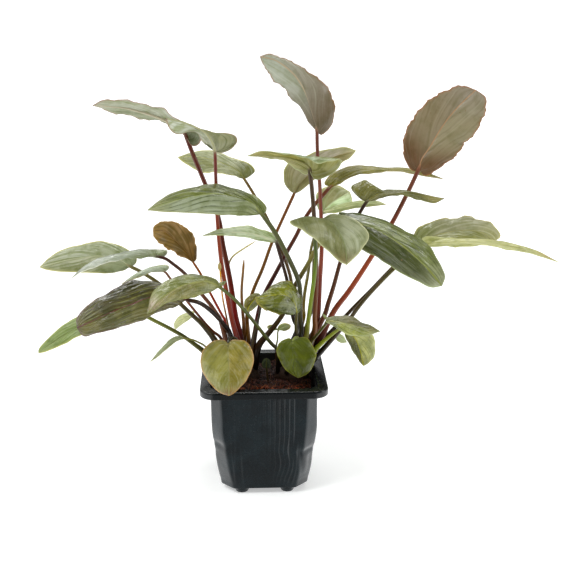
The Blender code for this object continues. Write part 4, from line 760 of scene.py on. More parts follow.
def blade_skin(name, look, main, seed):
    """Skin of one side of a blade: tints along it, halves lit and shaded in paint, mottling, a painted sheen
    standing in for highlights, parallel veins, coloured rim and midrib.
    """
    skin = Skin(name)
    along, across, half, rib_gap, edge_gap, vein = (skin.attr(key) for key in FLOATS)
    gloss, sheen, mottle, veins = (look[key] for key in ("gloss", "sheen", "mottle", "veins"))
    near_vein = skin.teeth(vein)
    fine_vein = skin.teeth(skin.times(vein, 5.0))
    cloud = skin.noise(9.0, 2.0, seed=seed)
    grain = skin.noise(0.9, 4.0, seed=seed + 3.0)
    # Painted light and shade: where the halves have two colours, one half is painted lit and the other shaded
    # by its tilt.
    skin.colour = skin.mix(skin.step(half, 0.2, 0.8), main[:6], main[-6:])
    skin.paint(look["base"], along, look["base_reach"], 0.0, 0.9)
    skin.paint(look["tip"], along, 1.0 - look["tip_reach"], 1.0, 0.9)
    deep = skin.mix(1.0, skin.colour, DEEP, "MULTIPLY")
    # Painted sheen: a pale tint laid in streaks and grain stands in for the leaf's glossy highlights.
    pale = skin.mix(0.12 + 0.4 * sheen, skin.colour, PAINTED_SHEEN)
    fibres = skin.vector(skin.times(vein, 2.4), across, skin.math("ADD", along, seed))
    streak = skin.noise(1.0, 4.0, place=fibres)
    skin.paint(deep, cloud, 0.42, 0.66, mottle)
    skin.paint(deep, streak, 0.5, 0.28, 1.3 * mottle)
    skin.paint(pale, streak, 0.52, 0.76, 0.5 + 0.5 * sheen)
    skin.paint(pale, grain, 0.3, 0.75, 0.3 * sheen)
    line = skin.step(near_vein, 0.42, 0.0, 0.0, veins)
    line = skin.times(line, skin.step(skin.noise(3.0, 2.0, seed=seed + 9.0), 0.25, 0.55, 0.3, 1.0))
    line = skin.times(line, skin.step(skin.noise(14.0, 1.0, seed=seed + 4.0), 0.35, 0.6, 0.15, 1.0))
    skin.paint(look["vein"], line)
    skin.paint(look["vein"], fine_vein, 0.5, 0.0, 0.28 * veins)
    skin.paint(look["rib"], rib_gap, 0.75, 0.3)
    speckle = skin.step(skin.noise(2.2, 1.0, seed=seed + 5.0), 0.70, 0.76, 0.0, 0.55)
    skin.paint(SPOTS, skin.times(speckle, skin.step(cloud, 0.5, 0.62)))
    ragged = skin.math("ADD", edge_gap, skin.times(skin.math("SUBTRACT", grain, 0.5), 0.5))
    skin.paint(look["rim"], ragged, 0.75, 0.30)
    skin.paint(look["rim"], ragged, 2.6, 0.5, 0.25)
    wrinkles = skin.vector(skin.times(vein, 1.3), skin.times(across, 2.4),
                           skin.math("MULTIPLY_ADD", along, 6.0, seed))
    skin.bump(skin.noise(1.0, 3.0, place=wrinkles), 0.1 + 0.9 * gloss, 1.7)
    skin.bump(skin.noise(0.35, 2.0, seed=seed), 0.22, 0.06)
    skin.bump(skin.step(fine_vein, 0.0, 0.6), 0.30, 0.08)
    skin.bump(skin.step(near_vein, 0.0, 0.4), 0.45, 0.16)
    wet = skin.noise(4.0, 3.0, seed=seed + 7.0)
    rough = skin.step(wet, 0.3, 0.7, 0.46 - 0.22 * gloss, 0.60 - 0.24 * gloss)
    return skin.finish(rough, 0.22 - 0.16 * gloss, gloss, 0.24 - 0.15 * gloss)


def stem_skin(name, colours, rib, seed):
    """Skin of a petiole, from the root's colour up to the joint's and on into the midrib, with painted shade
    near the root.
    """
    top, middle, root = colours
    skin = Skin(name, root)
    along = skin.attr("along")
    skin.paint(middle, along, -0.9, -0.5)
    skin.paint(top, along, -0.5, -0.08)
    if rib:
        skin.paint(rib, along, -0.03, 0.08)
    lengthwise = skin.vector(skin.times(skin.attr("half"), 9.0), skin.times(along, 7.0), seed)
    streaks = skin.noise(1.0, 3.0, place=lengthwise)
    skin.paint("d89850", streaks, 0.4, 0.8, 0.11)
    skin.paint("2a120c", streaks, 0.5, 0.2, 0.3375)
    # Painted shade: the petiole goes near black towards its root, down among the crowded bases.
    skin.paint("0a0402", along, -0.76, -0.92, 0.93)
    skin.bump(streaks, 0.35, 0.12)
    skin.bump(skin.noise(0.5, 2.0, seed=seed), 0.2, 0.05)
    rough = skin.step(skin.noise(3.0, 3.0, seed=seed), 0.3, 0.7, 0.34, 0.5)
    return skin.finish(rough, 0.12, 0.35, 0.1)


class Mesh:
    """Points in millimetres, faces and per-point values of a piece under construction."""

    def __init__(self):
        self.points = []
        self.faces = []
        self.slots = []
        self.values = {key: [] for key in FLOATS}
        self.count = 0

    def add(self, points, faces, slot, **values):
        points = np.asarray(points, dtype=float)
        self.faces += [tuple(int(i) + self.count for i in face) for face in faces]
        self.slots += [slot] * len(faces)
        self.points.append(points)
        for key in FLOATS:
            value = np.asarray(values.get(key, 0.0), dtype=float)
            self.values[key].append(np.broadcast_to(value, len(points)))
        self.count += len(points)

    def make(self, name, materials):
        mesh = bpy.data.meshes.new(name)
        mesh.from_pydata((np.vstack(self.points) * MM).tolist(), [], self.faces)
        for material in materials:
            mesh.materials.append(material)
        mesh.polygons.foreach_set("material_index", self.slots)
        mesh.polygons.foreach_set("use_smooth", [True] * len(self.faces))
        for key in FLOATS:
            layer = mesh.attributes.new(key, "FLOAT", "POINT")
            layer.data.foreach_set("value", np.concatenate(self.values[key]))
        mesh.validate()
        mesh.update()
        return link(bpy.data.objects.new(name, mesh))


def link(obj):
    bpy.context.scene.collection.objects.link(obj)
    return obj


def ring_faces(rings, sides):
    """Quads between rings of points that follow one another."""
    faces = []
    for low in range(0, (rings - 1) * sides, sides):
        for k in range(sides):
            n = (k + 1) % sides
            faces.append((low + k, low + sides + k, low + sides + n, low + n))
    return faces


def capped_faces(rings, sides):
    """The same quads, and both ends closed by fans round two more points."""
    faces = ring_faces(rings, sides)
    last = (rings - 1) * sides
    for k in range(sides):
        n = (k + 1) % sides
        faces += [(rings * sides, k, n), (rings * sides + 1, last + n, last + k)]
    return faces


def point_normals(points, faces):
    """Unit normal at each point, from the faces round it."""
    total = np.zeros_like(points)
    for size, ahead, aside in ((3, (1, 0), (2, 0)), (4, (2, 0), (3, 1))):
        group = np.array([face for face in faces if len(face) == size], dtype=int)
        if len(group):
            corners = points[group]
            cross = np.cross(*(corners[:, a] - corners[:, b] for a, b in (ahead, aside)))
            for k in range(size):
                np.add.at(total, group[:, k], cross)
    return total / np.maximum(np.linalg.norm(total, axis=1, keepdims=True), 1e-9)


def blade_middle(spec):
    """Midrib line and both edge lines of a blade, one point a row, and how far along each row is."""
    joint = spec["stem"][0]
    rib_pixels = [joint] + spec["rib"]
    share = np.linspace(0.0, 1.0, BLADE_ROWS + 1)
    along = np.clip((share - LOBE_SHARE) / (1.0 - LOBE_SHARE), 0.0, 1.0)
    depth = spec["depth"][0] + (spec["depth"][1] - spec["depth"][0]) * along
    swell = np.sin(np.pi * share).clip(0.0) ** BLADE_SWELL
    rib = np.array([at(pixel, d) for pixel, d in zip(spread(rib_pixels, along), depth)])
    edges = []
    for edge, lean in zip((spec["side_a"], spec["side_b"]), spec["lean"]):
        line = spread([joint] + edge + [rib_pixels[-1]], share)
        edges.append(np.array([at(pixel, d + lean * s) for pixel, d, s in zip(line, depth, swell)]))
    return share, along, rib, edges


def blade_grid(share, rib, edges, look, seed):
    """Flat grid of a blade with its scalloped rim, and the width of its half at each point."""
    out = np.array(ACROSS)
    middle = len(out) - 1
    grid = np.zeros((len(share), 2 * middle + 1, 3))
    width = np.zeros(grid.shape[:2])
    size, count = look["scallop"]
    for side in (0, 1):
        reach = edges[side] - rib
        length = np.linalg.norm(reach, axis=1)
        turn = 2 * np.pi * count * share
        ripple = np.abs(np.sin(0.5 * turn + seed + 2.0 * side)) - 0.6
        ripple = ripple + 0.35 * np.sin(2.3 * turn + 3.0 * seed + side)
        for end in SCALLOP_ENDS:
            ripple = ripple * smooth(share, *end)
        ripple = size * ripple
        outward = reach / np.maximum(length, 1e-6)[:, None]
        for k in range(side, middle + 1):
            column = middle + k if side else middle - k
            width[:, column] = length
            grid[:, column] = rib + reach * out[k] + outward * (ripple * smooth(out[k], 0.5, 1.0))[:, None]
    return grid, width


def blade_relief(points, look, seed, size, share, along, across, side, width, vein):
    """Height of a blade's cup, rolling, wrinkles, waves, quilting and midrib groove at each point."""
    def rough(scale, offset):
        return np.array([noise.noise(Vector(p * scale) + Vector(offset)) for p in points])

    ends = np.sin(np.pi * share).clip(0.0) ** 0.5
    wave, count = look["wave"]
    turn = 2 * np.pi * count * share
    relief = look["cup"] * width * np.sin(np.pi * across)
    rolling = look["roll"] * rough(ROLL_SCALE, (seed, 0.0, 0.0)) * np.minimum(width / ROLL_WIDTH, 1.0)
    relief += rolling * ends * smooth(across, 1.0, 0.7)
    wrinkle = WRINKLE_DEPTH * look["gloss"] ** 2 * rough(WRINKLE_SCALE, (0.0, 0.0, seed))
    relief += wrinkle * np.minimum(width / WRINKLE_WIDTH, 1.0) * ends * smooth(across, 1.0, 0.75)
    relief += wave * width * across ** 2.5 * ends * np.sin(turn + 2.1 * side + seed)
    relief += 0.4 * wave * width * across ** 4 * ends * np.sin(2.7 * turn + 4.0 * side + 2 * seed)
    near_vein = np.abs((vein + 0.5) % 1.0 - 0.5) * 2.0
    quilt = look["quilt"] * min(QUILT_DEPTH, QUILT_PER_LENGTH * size)
    quilt = quilt * np.exp(-(near_vein / QUILT_WIDTH) ** 2)
    relief -= quilt * ends * smooth(across, 0.02, 0.12) * smooth(across, 1.0, 0.8)
    dip = RIB_DIP * np.exp(-(across * width / RIB_DIP_WIDTH) ** 2)
    return relief - dip * smooth(along, 1.0, 0.6) * smooth(width, 1.0, 4.0)


def add_blade(piece, spec, look, seed):
    """Adds a thin closed blade; gives its midrib line with the normals towards the upper side."""
    share, along, rib, edges = blade_middle(spec)
    grid, width = blade_grid(share, rib, edges, look, seed)
    rows, wide = BLADE_ROWS, grid.shape[1]
    centre = wide // 2
    out = np.array(ACROSS)
    across = np.concatenate([out[::-1], out[1:]])
    half = np.concatenate([np.zeros(centre), [0.5], np.ones(centre)])
    ids = np.full((rows + 1, wide), -1)
    ids[0, :] = 0
    ids[along <= 0.0, centre] = 0
    ids[rows, :] = 1
    free = ids < 0
    ids[free] = 2 + np.arange(free.sum())

    def gather(values):
        """Values of the grid at its points; the joint and the tip are one point each."""
        values = np.broadcast_to(values, grid.shape[:2] + np.shape(values)[2:])
        return np.concatenate([values[:1, centre], values[rows:, centre], values[free]])

    points = gather(grid)
    s, a, w = gather(share[:, None]), gather(along[:, None]), gather(width)
    u, side = gather(across[None, :]), gather(half[None, :])
    faces = []
    for i in range(1, rows):
        for k in range(wide - 1):
            loop = dict.fromkeys((ids[i, k], ids[i, k + 1], ids[i + 1, k + 1], ids[i + 1, k]))
            if len(loop) > 2:
                faces.append(tuple(int(corner) for corner in loop))
    normals = point_normals(points, faces)
    if normals.mean(0) @ (np.array(CAMERA) - points.mean(0)) < 0.0:
        faces = [tuple(reversed(face)) for face in faces]
        normals = -normals
    up = 1.0 if normals.mean(0) @ np.array(UPWARD) > 0.0 else -1.0
    size = np.linalg.norm(rib[-1] - rib[0])
    veins_ahead, veins_across = look["lines"]
    wander = [noise.noise(Vector(p * WANDER_SCALE) + Vector((0.0, seed, 0.0))) for p in points]
    vein = veins_across * u - veins_ahead * s + 0.5 * np.array(wander)
    relief = blade_relief(points, look, seed, size, s, a, u, side, w, vein)
    points = points + normals * (relief * up)[:, None]
    normals = point_normals(points, faces)
    thick = BLADE_THICK * (1.0 - 0.5 * smooth(u, 0.8, 1.0)) * min(1.0, 0.4 + size / 50.0)
    values = dict(along=a, across=u, half=side, rib_gap=u * w, edge_gap=(1.0 - u) * w, vein=vein)
    rim = {}
    for face in faces:
        for i, j in zip(face, face[1:] + face[:1]):
            if (j, i) in rim:
                del rim[(j, i)]
            else:
                rim[(i, j)] = True
    count = len(points)
    shell = np.vstack([points + normals * (thick / 2)[:, None], points - normals * (thick / 2)[:, None]])
    under = [tuple(count + i for i in reversed(face)) for face in faces]
    seam = [(j, i, count + i, count + j) for i, j in rim]
    start = len(piece.faces)
    piece.add(shell, faces + under + seam, 0, **{key: np.tile(value, 2) for key, value in values.items()})
    piece.slots[start + len(faces):start + 2 * len(faces)] = [1] * len(faces)
    first = int(np.argmax(along > 0.0)) - 1
    line_ids = ids[first:, centre]
    return points[line_ids], normals[line_ids] * up, along[first:]


def frames(path, reference):
    """Two unit vectors across a line at each of its points, carried along without twisting."""
    tangent = np.gradient(path, axis=0)
    tangent /= np.maximum(np.linalg.norm(tangent, axis=1, keepdims=True), 1e-9)
    first = np.zeros_like(path)
    vector = np.array(reference, dtype=float)
    for i, direction in enumerate(tangent):
        vector = vector - direction * (vector @ direction)
        vector /= max(np.linalg.norm(vector), 1e-9)
        first[i] = vector
    return first, np.cross(tangent, first)


def add_tube(piece, path, wide, deep, reference, slot, along, sides=STEM_SIDES, groove=STEM_GROOVE):
    """Adds a closed tube with its own half width and half depth at each point of the line."""
    up, across = frames(path, reference)
    angle = np.linspace(0.0, 2 * np.pi, sides, endpoint=False)
    bend = np.minimum(angle, 2 * np.pi - angle)
    dip = 1.0 - groove * np.exp(-(bend / GROOVE_WIDTH) ** 2)
    ring = (np.cos(angle) * dip)[None, :, None] * deep[:, None, None] * up[:, None, :]
    ring = ring + np.sin(angle)[None, :, None] * wide[:, None, None] * across[:, None, :]
    points = np.vstack([(path[:, None, :] + ring).reshape(-1, 3), path[:1], path[-1:]])
    values = np.concatenate([np.repeat(along, sides), along[:1], along[-1:]])
    around = np.concatenate([np.tile(bend / np.pi, len(path)), [0.0, 0.0]])
    faces = capped_faces(len(path), sides)
    piece.add(points, faces, slot, along=values, half=around, edge_gap=FAR, rib_gap=FAR)


def add_stem(piece, path, radii, rib_line, slot, swell=1.0):
    """Petiole from its root to the joint, going on as the ridge under the midrib."""
    total = np.linalg.norm(np.diff(path, axis=0), axis=1).sum()
    line, along, radius = path, -np.linspace(0.0, 1.0, len(path)), np.array(radii)
    run = np.linspace(0.0, total, len(path))
    sheath = smooth(run, total - SHEATH, total - SHEATH_END) * (total > SHEATH)
    reference = (0.0, 1.0, 0.2)
    if rib_line:
        keep = rib_line[2] < RIDGE_SHARE
        rib, normals, share = (values[keep] for values in rib_line)
        size = RIDGE_SIZE * radii[0] * (1.0 - share) ** 0.9 + RIDGE_LEAST
        sink = (size * 0.82 - BLADE_THICK * 0.35) * smooth(share, 0.0, 0.07)
        line = np.vstack([(rib - normals * sink[:, None])[::-1], path[1:]])
        along = np.concatenate([share[::-1], along[1:]])
        radius = np.concatenate([size[::-1], radius[1:]])
        sheath = np.concatenate([np.zeros(len(rib)), sheath[1:]])
        reference = normals[-1]
    steps = lengths(line)
    even = np.linspace(0.0, steps[-1], max(6, int(steps[-1] / STEM_MESH_STEP)))
    fine = pick(line, steps, even)
    for _ in range(2):
        fine[1:-1] = 0.25 * fine[:-2] + 0.5 * fine[1:-1] + 0.25 * fine[2:]
    radius, sheath, along = (np.interp(even, steps, values) for values in (radius, sheath, along))
    wide = radius * (1.0 + SHEATH_WIDE * sheath * swell)
    deep = radius * (1.0 + SHEATH_DEEP * sheath * swell)
    add_tube(piece, fine, wide, deep, reference, slot, along)


def build_leaf(name, spec, path, radii, seed):
    look = spec["look"]
    piece = Mesh()
    rib_line = add_blade(piece, spec, look, seed)
    if spec["twin"]:
        add_blade(piece, dict(spec, **spec["twin"]), look, seed + 1.0)
    add_stem(piece, path, radii, rib_line, 2, look["sheath"])
    label = name.replace("leaf_", "") + "_plant"
    return piece.make(label, [
        blade_skin(label + "_seen", look, look["seen"], seed),
        blade_skin(label + "_other", look, look["other"], seed + 20.0),
        stem_skin(label + "_stem", look["petiole"], look["rib"], seed)])


def build_spike(name, spec, path, radii, seed):
    """A leaf still rolled up: a bare tapering spike."""
    piece = Mesh()
    slim = radii * spec["stout"]
    slim[:2] *= SPIKE_POINT
    add_stem(piece, path, slim, None, 0)
    label = name.replace("leaf_", "") + "_plant"
    return piece.make(label, [stem_skin(label + "_stem", spec["colours"].split(), None, seed)])


def body_size(z, inset):
    """Width and corner cut of the bulging pot body at a height, taken in by a wall."""
    share = z / LIP_UNDER
    heights, widths = zip(*BODY_PROFILE)
    around = [np.interp(np.asarray(z) + step, heights, widths) for step in (-PROFILE_STEP, 0.0, PROFILE_STEP)]
    width = sum(around) / 3 - 2 * inset
    chamfer = BODY_BASE_CHAMFER + (BODY_TOP_CHAMFER - BODY_BASE_CHAMFER) * share - CHAMFER_INSET * inset
    return width, chamfer


def cut_corner(half, corner, turns):
    """Points round a cut corner with a fillet at both ends of the cut."""
    slope = FILLET / math.sqrt(2)
    marks = np.array(((half - corner - FILLET, -half), (half - corner, -half),
                      (half - corner + slope, -half + slope), (half - slope, -half + corner - slope),
                      (half, -half + corner), (half, -half + corner + FILLET)))
    points = np.zeros((turns, 2))
    for i in range(turns):
        if i < FILLET_STEPS:
            share, (p, q, r) = i / FILLET_STEPS, marks[0:3]
        elif i >= FILLET_STEPS + CUT_STEPS:
            share, (p, q, r) = (i - FILLET_STEPS - CUT_STEPS) / FILLET_STEPS, marks[3:6]
        else:
            share, (p, r) = (i - FILLET_STEPS) / CUT_STEPS, marks[2:4]
            q = (p + r) / 2
        points[i] = (1 - share) ** 2 * p + 2 * share * (1 - share) * q + share ** 2 * r
    return points


def ring_points(width, corner, z, rounded):
    """Ring round the pot, anticlockwise from above, with cut or rounded corners."""
    turns = 2 * FILLET_STEPS + CUT_STEPS
    half = width / 2
    reach = half - corner - (0.0 if rounded else FILLET)
    flat = -reach + 2 * reach * np.linspace(0.0, 1.0, FLAT_STEPS, endpoint=False)
    if rounded:
        angle = -np.pi / 2 + np.pi / 2 * np.arange(turns) / turns
        turn = np.column_stack([reach + corner * np.cos(angle), -reach + corner * np.sin(angle)])
    else:
        turn = cut_corner(half, corner, turns)
    x, y = np.vstack([np.column_stack([flat, np.full(FLAT_STEPS, -half)]), turn]).T
    ring = [(x * c - y * s, x * s + y * c) for c, s in ((1, 0), (0, 1), (-1, 0), (0, -1))]
    return np.array([(*point, z) for quarter in ring for point in zip(*quarter)])


def body_ring(z, inset):
    return ring_points(*body_size(z, inset), z, False)


def rim_ring(inset, z):
    return ring_points(RIM_WIDTH - 2 * inset, RIM_CORNER - inset, z, True)


def build_pot():
    """Thermoformed pot: raised wall edge, ribbed bulging walls, hollow rolled rim, inner walls."""
    def angles(end, count):
        """Way in (1 - cosine) and way up (sine) along an arc."""
        return [(1.0 - math.cos(angle), math.sin(angle)) for angle in np.linspace(0.0, end, count)]

    flange = POT_HEIGHT - FLANGE
    rings = [ring_points(*body_size(BASE_LIFT, EDGE_ROUND * (1.0 - rise)),
                         BASE_LIFT + EDGE_ROUND * turn, False) for turn, rise in angles(np.pi / 2, 5)]
    rings += [body_ring(z, 0.0) for z in np.linspace(BASE_LIFT + 1.6, LIP_UNDER - 0.5, WALL_ROWS)]
    rings += [body_ring(flange, 0.0)]
    rings += [rim_ring(LIP_WALL, z) for z in (flange, flange - 0.8, LIP_UNDER + 1.5)]
    rings += [rim_ring(LIP_WALL / 2 * (2.0 - turn), LIP_UNDER + 0.5 - 0.5 * rise)
              for turn, rise in angles(np.pi, 7)]
    rings += [rim_ring(0.0, z) for z in np.linspace(LIP_UNDER + 1.2, POT_HEIGHT - RIM_ROUND, 5)]
    rings += [rim_ring(RIM_ROUND * turn, POT_HEIGHT - RIM_ROUND + RIM_ROUND * rise)
              for turn, rise in angles(np.pi / 2, 7)[1:]]
    opening, cut = body_size(POT_HEIGHT, POT_WALL)
    lip_in = opening + 2 * RIM_ROUND
    flat_top = (RIM_WIDTH - 2 * RIM_ROUND + lip_in) / 2
    rings += [ring_points(flat_top, RIM_CORNER - 2.5, POT_HEIGHT - 0.25, True)]
    # The first rings down into the opening still have rounded corners, the last ones the body's cut corners.
    rings += [ring_points(lip_in - 2 * RIM_ROUND * rise, cut + 1.0 - rise,
                          POT_HEIGHT - 0.1 - RIM_ROUND * turn, rise < OPENING_ROUNDED)
              for turn, rise in angles(np.pi / 2, 6)]
    rings += [body_ring(z, POT_WALL) for z in INSIDE_HEIGHTS]
    count = len(rings[0])
    outward = [(a, d, c, b) for a, b, c, d in ring_faces(len(rings), count)]
    piece = Mesh()
    piece.add(shape_wall(np.vstack(rings)), outward, 0)
    pot = piece.make("pot_black", [pot_skin()])
    close_floor(pot, count)
    return pot


def close_floor(pot, count):
    """Underside with four round feet and the middle plate, the inner floor and its well, the drain holes."""
    bm = bmesh.new()
    bm.from_mesh(pot.data)
    bm.verts.ensure_lookup_table()
    total = len(bm.verts)
    outer, inner = ([bm.verts[start + k] for k in range(count)] for start in (0, total - count))

    def loop(points, z):
        return [bm.verts.new(Vector((x, y, z)) * MM) for x, y in points]

    def edges(ring):
        return [bm.edges.get((a, b)) or bm.edges.new((a, b)) for a, b in zip(ring, ring[1:] + ring[:1])]

    def walls(rings):
        for low, high in zip(rings, rings[1:]):
            for k in range(len(low)):
                bm.faces.new((low[k - 1], low[k], high[k], high[k - 1]))

    def fill(rings):
        bmesh.ops.triangle_fill(bm, use_beauty=True, edges=[edge for ring in rings for edge in edges(ring)])

    def circle(x, y, radius, clip=PLATE_WIDTH):
        turn = 2 * np.pi * np.arange(CIRCLE_SIDES) / CIRCLE_SIDES
        return np.column_stack([x + radius * np.cos(turn), y + radius * np.sin(turn)]).clip(-clip, clip)

    def plate(inset):
        return ring_points(PLATE_WIDTH - 2 * inset, PLATE_CHAMFER, 0.0, False)[::PLATE_SKIP, :2]

    clip = body_size(BASE_LIFT, EDGE_ROUND + 0.3)[0] / 2
    holes = []
    for x in (-FOOT_X, FOOT_X):
        for y in (-FOOT_Y, FOOT_Y):
            rings = [loop(circle(x, y, radius, clip), z) for radius, z in FOOT_PROFILE]
            walls(rings)
            bm.faces.new(rings[-1])
            holes.append(rings[0])
    sole = [loop(plate(inset), z) for inset, z in (
        (-1.0, BASE_LIFT), (-0.3, BASE_LIFT - 0.4), (0.0, BASE_LIFT - 1.2), (0.2, 0.7), (0.9, 0.0))]
    well = [loop(plate(POT_WALL + inset), z) for inset, z in (
        (0.0, BASE_LIFT + FLOOR_THICK), (0.3, FLOOR_THICK))]
    walls(sole)
    walls(well)
    fill([outer, sole[0]] + holes)
    fill([inner, well[0]])
    spots = [(x, y) for x in (-DRAIN_OFFSET, DRAIN_OFFSET) for y in (-DRAIN_OFFSET, DRAIN_OFFSET)]
    drains = [[loop(circle(x, y, DRAIN_RADIUS), z) for x, y in spots] for z in (0.0, FLOOR_THICK)]
    fill([sole[-1]] + drains[0])
    fill([well[-1]] + drains[1])
    for pair in zip(*drains):
        walls(pair)
    bmesh.ops.recalc_face_normals(bm, faces=bm.faces)
    for face in bm.faces:
        face.smooth = True
    bm.to_mesh(pot.data)
    bm.free()


def shape_wall(points):
    """Moulded ribs on the walls, and the photographed pot's dents, creases and round marks."""
    start = points.copy()
    x, y, z = start.T
    body = smooth(z, *WALL_FOOT) * smooth(z, *WALL_HEAD)
    size, cut = body_size(z, 0.0)
    radial = start[:, :2] / np.maximum(np.hypot(x, y), 1.0)[:, None]
    for axis, other in ((0, 1), (1, 0)):
        across = points[:, axis].copy()
        outward = np.sign(points[:, other])
        on_wall = np.abs(np.abs(points[:, other]) - size / 2) < POT_WALL + 0.1
        on_wall = on_wall & (np.abs(across) < size / 2 - cut)
        fade = smooth(np.abs(across - RIB_CENTRE), *RIB_FIELD)
        low, right, left = RIB_BENT_FIELD
        bent = smooth(z, *low) * smooth(across, *right) * smooth(across, *left)
        place = across * RIB_SPAN / size + RIB_BENT * np.sin(RIB_BENT_TURN * z) * bent
        ribs = RIB_HEIGHT * (RIB_FAINT + (1.0 - RIB_FAINT) * smooth(across, *RIB_FAINT_TO))
        ribs = ribs * smooth(np.cos(2 * np.pi * place / RIB_PITCH), -0.2, 1.0)
        points[:, other] += np.where(on_wall, outward * ribs * fade * body, 0.0)
    for place, radius, depth in DENTS:
        gap = np.linalg.norm((start - place) / radius, axis=1)
        points[:, :2] -= radial * (depth * np.exp(-gap ** 2))[:, None]
    for place in MARKS:
        gap = np.linalg.norm(start[:, [0, 2]] - place, axis=1)
        points[:, 1] -= (y < FRONT) * MARK_HEIGHT * smooth(np.abs(gap - MARK_RADIUS), *MARK_EDGE)
    return points


def pot_skin():
    skin = Skin("black_plastic", "0b1519")
    skin.paint("132126", skin.noise(14.0, 3.0, seed=2.0), 0.3, 0.7)
    skin.paint("3c4544", skin.noise(1.6, 5.0, (1.0, 1.0, 0.2), seed=5.0), 0.62, 0.82, 0.35)
    skin.paint("6e5c48", skin.noise(0.4, 2.0, seed=8.0), 0.70, 0.76, 0.12)
    outward = {0: skin.place, 1: skin.node("NewGeometry", output="Normal")}
    inside = skin.step(skin.node("VectorMath", outward, "Value", operation="DOT_PRODUCT"), -0.002, -0.012)
    # Painted shade: the rim above the underside of the lip is painted darker than the walls, though it is the
    # same plastic.
    skin.paint("040606", skin.split("Z"), (LIP_UNDER - 0.4) * MM, (LIP_UNDER + 0.2) * MM, 0.75)
    # Painted shade: the inward-facing walls are painted near black for the shade inside the pot; the same
    # mask makes them rougher.
    skin.paint("080504", skin.times(inside, 0.9))
    skin.bump(skin.noise(9.0, 2.0, seed=6.0), 0.5, 0.5)
    rough = skin.step(skin.noise(5.0, 4.0, seed=9.0), 0.3, 0.7, 0.20, 0.32)
    return skin.finish(skin.math("MULTIPLY_ADD", inside, 0.6, rough), 0.42)


def crumbly(x, y):
    """Height of the uneven soil surface with its clods and grains."""
    wave_x, wave_y, fine_y, fine_x = SOIL_WAVES
    broad = math.sin(wave_x * x + 1.0) * math.cos(wave_y * y)
    fine = math.sin(fine_y * y + fine_x * x) / 2
    lumps = sum(size * noise.noise(Vector((x * scale, y * scale, seed))) for size, scale, seed in SOIL_LUMPS)
    return SOIL_TOP + SOIL_BUMP * (broad + fine) + lumps


def build_soil():
    """Root ball: crumbled surface, sides along the pot wall, underside and the well of the base plate."""
    inset = POT_WALL + SOIL_GAP
    rim = body_ring(SOIL_TOP - 1.5, inset)
    picks = np.linspace(0, len(rim), SOIL_SPOKES, endpoint=False).astype(int)
    rows = []
    for share in np.linspace(0.012, 1.0, SOIL_RINGS):
        row = rim[picks] * (share, share, 1.0)
        droop = SOIL_DROOP * smooth(share, 0.9, 1.0)
        row[:, 2] = [crumbly(x, y) - droop for x, y in row[:, :2]]
        rows.append(row)
    sole = FLOOR_THICK + SOIL_GAP
    rows += [body_ring(z, inset)[picks] for z in (*SOIL_HEIGHTS, BASE_LIFT + sole)]
    rows += [ring_points(PLATE_WIDTH - 2 * inset, PLATE_CHAMFER, z, False)[picks]
             for z in (BASE_LIFT + sole, sole)]
    faces = ring_faces(len(rows), SOIL_SPOKES)
    faces.append(tuple(range(SOIL_SPOKES)))
    faces.append(tuple(reversed(range((len(rows) - 1) * SOIL_SPOKES, len(rows) * SOIL_SPOKES))))
    points = np.vstack(rows)
    tone = [0.5 + 0.5 * noise.noise(Vector((x * SOIL_TONE, y * SOIL_TONE, z))) for x, y, z in points]
    piece = Mesh()
    piece.add(points, faces, 0, half=np.array(tone))
    return piece.make("coir_soil", [soil_skin("coir", 0.0)])


BOX_FACES = ((0, 2, 3, 1), (4, 5, 7, 6), (0, 1, 5, 4), (2, 6, 7, 3), (0, 4, 6, 2), (1, 3, 7, 5))


def box_chip(centre, size, turn, rng):
    """Flake of bark: a skewed box with uneven corners."""
    corners = np.array([(x, y, z) for z in (-1, 1) for y in (-1, 1) for x in (-1, 1)], dtype=float)
    corners[:, :2] *= 1.0 - CHIP_TAPER * rng.random((8, 1))
    corners += rng.uniform(-CHIP_SKEW, CHIP_SKEW, (8, 3))
    corners *= np.array(size) / 2
    for a, b, angle in zip((0, 2, 1), (1, 0, 2), turn):
        c, s = math.cos(angle), math.sin(angle)
        corners[:, [a, b]] = corners[:, [a, b]] @ np.array(((c, s), (-s, c)))
    return corners + centre


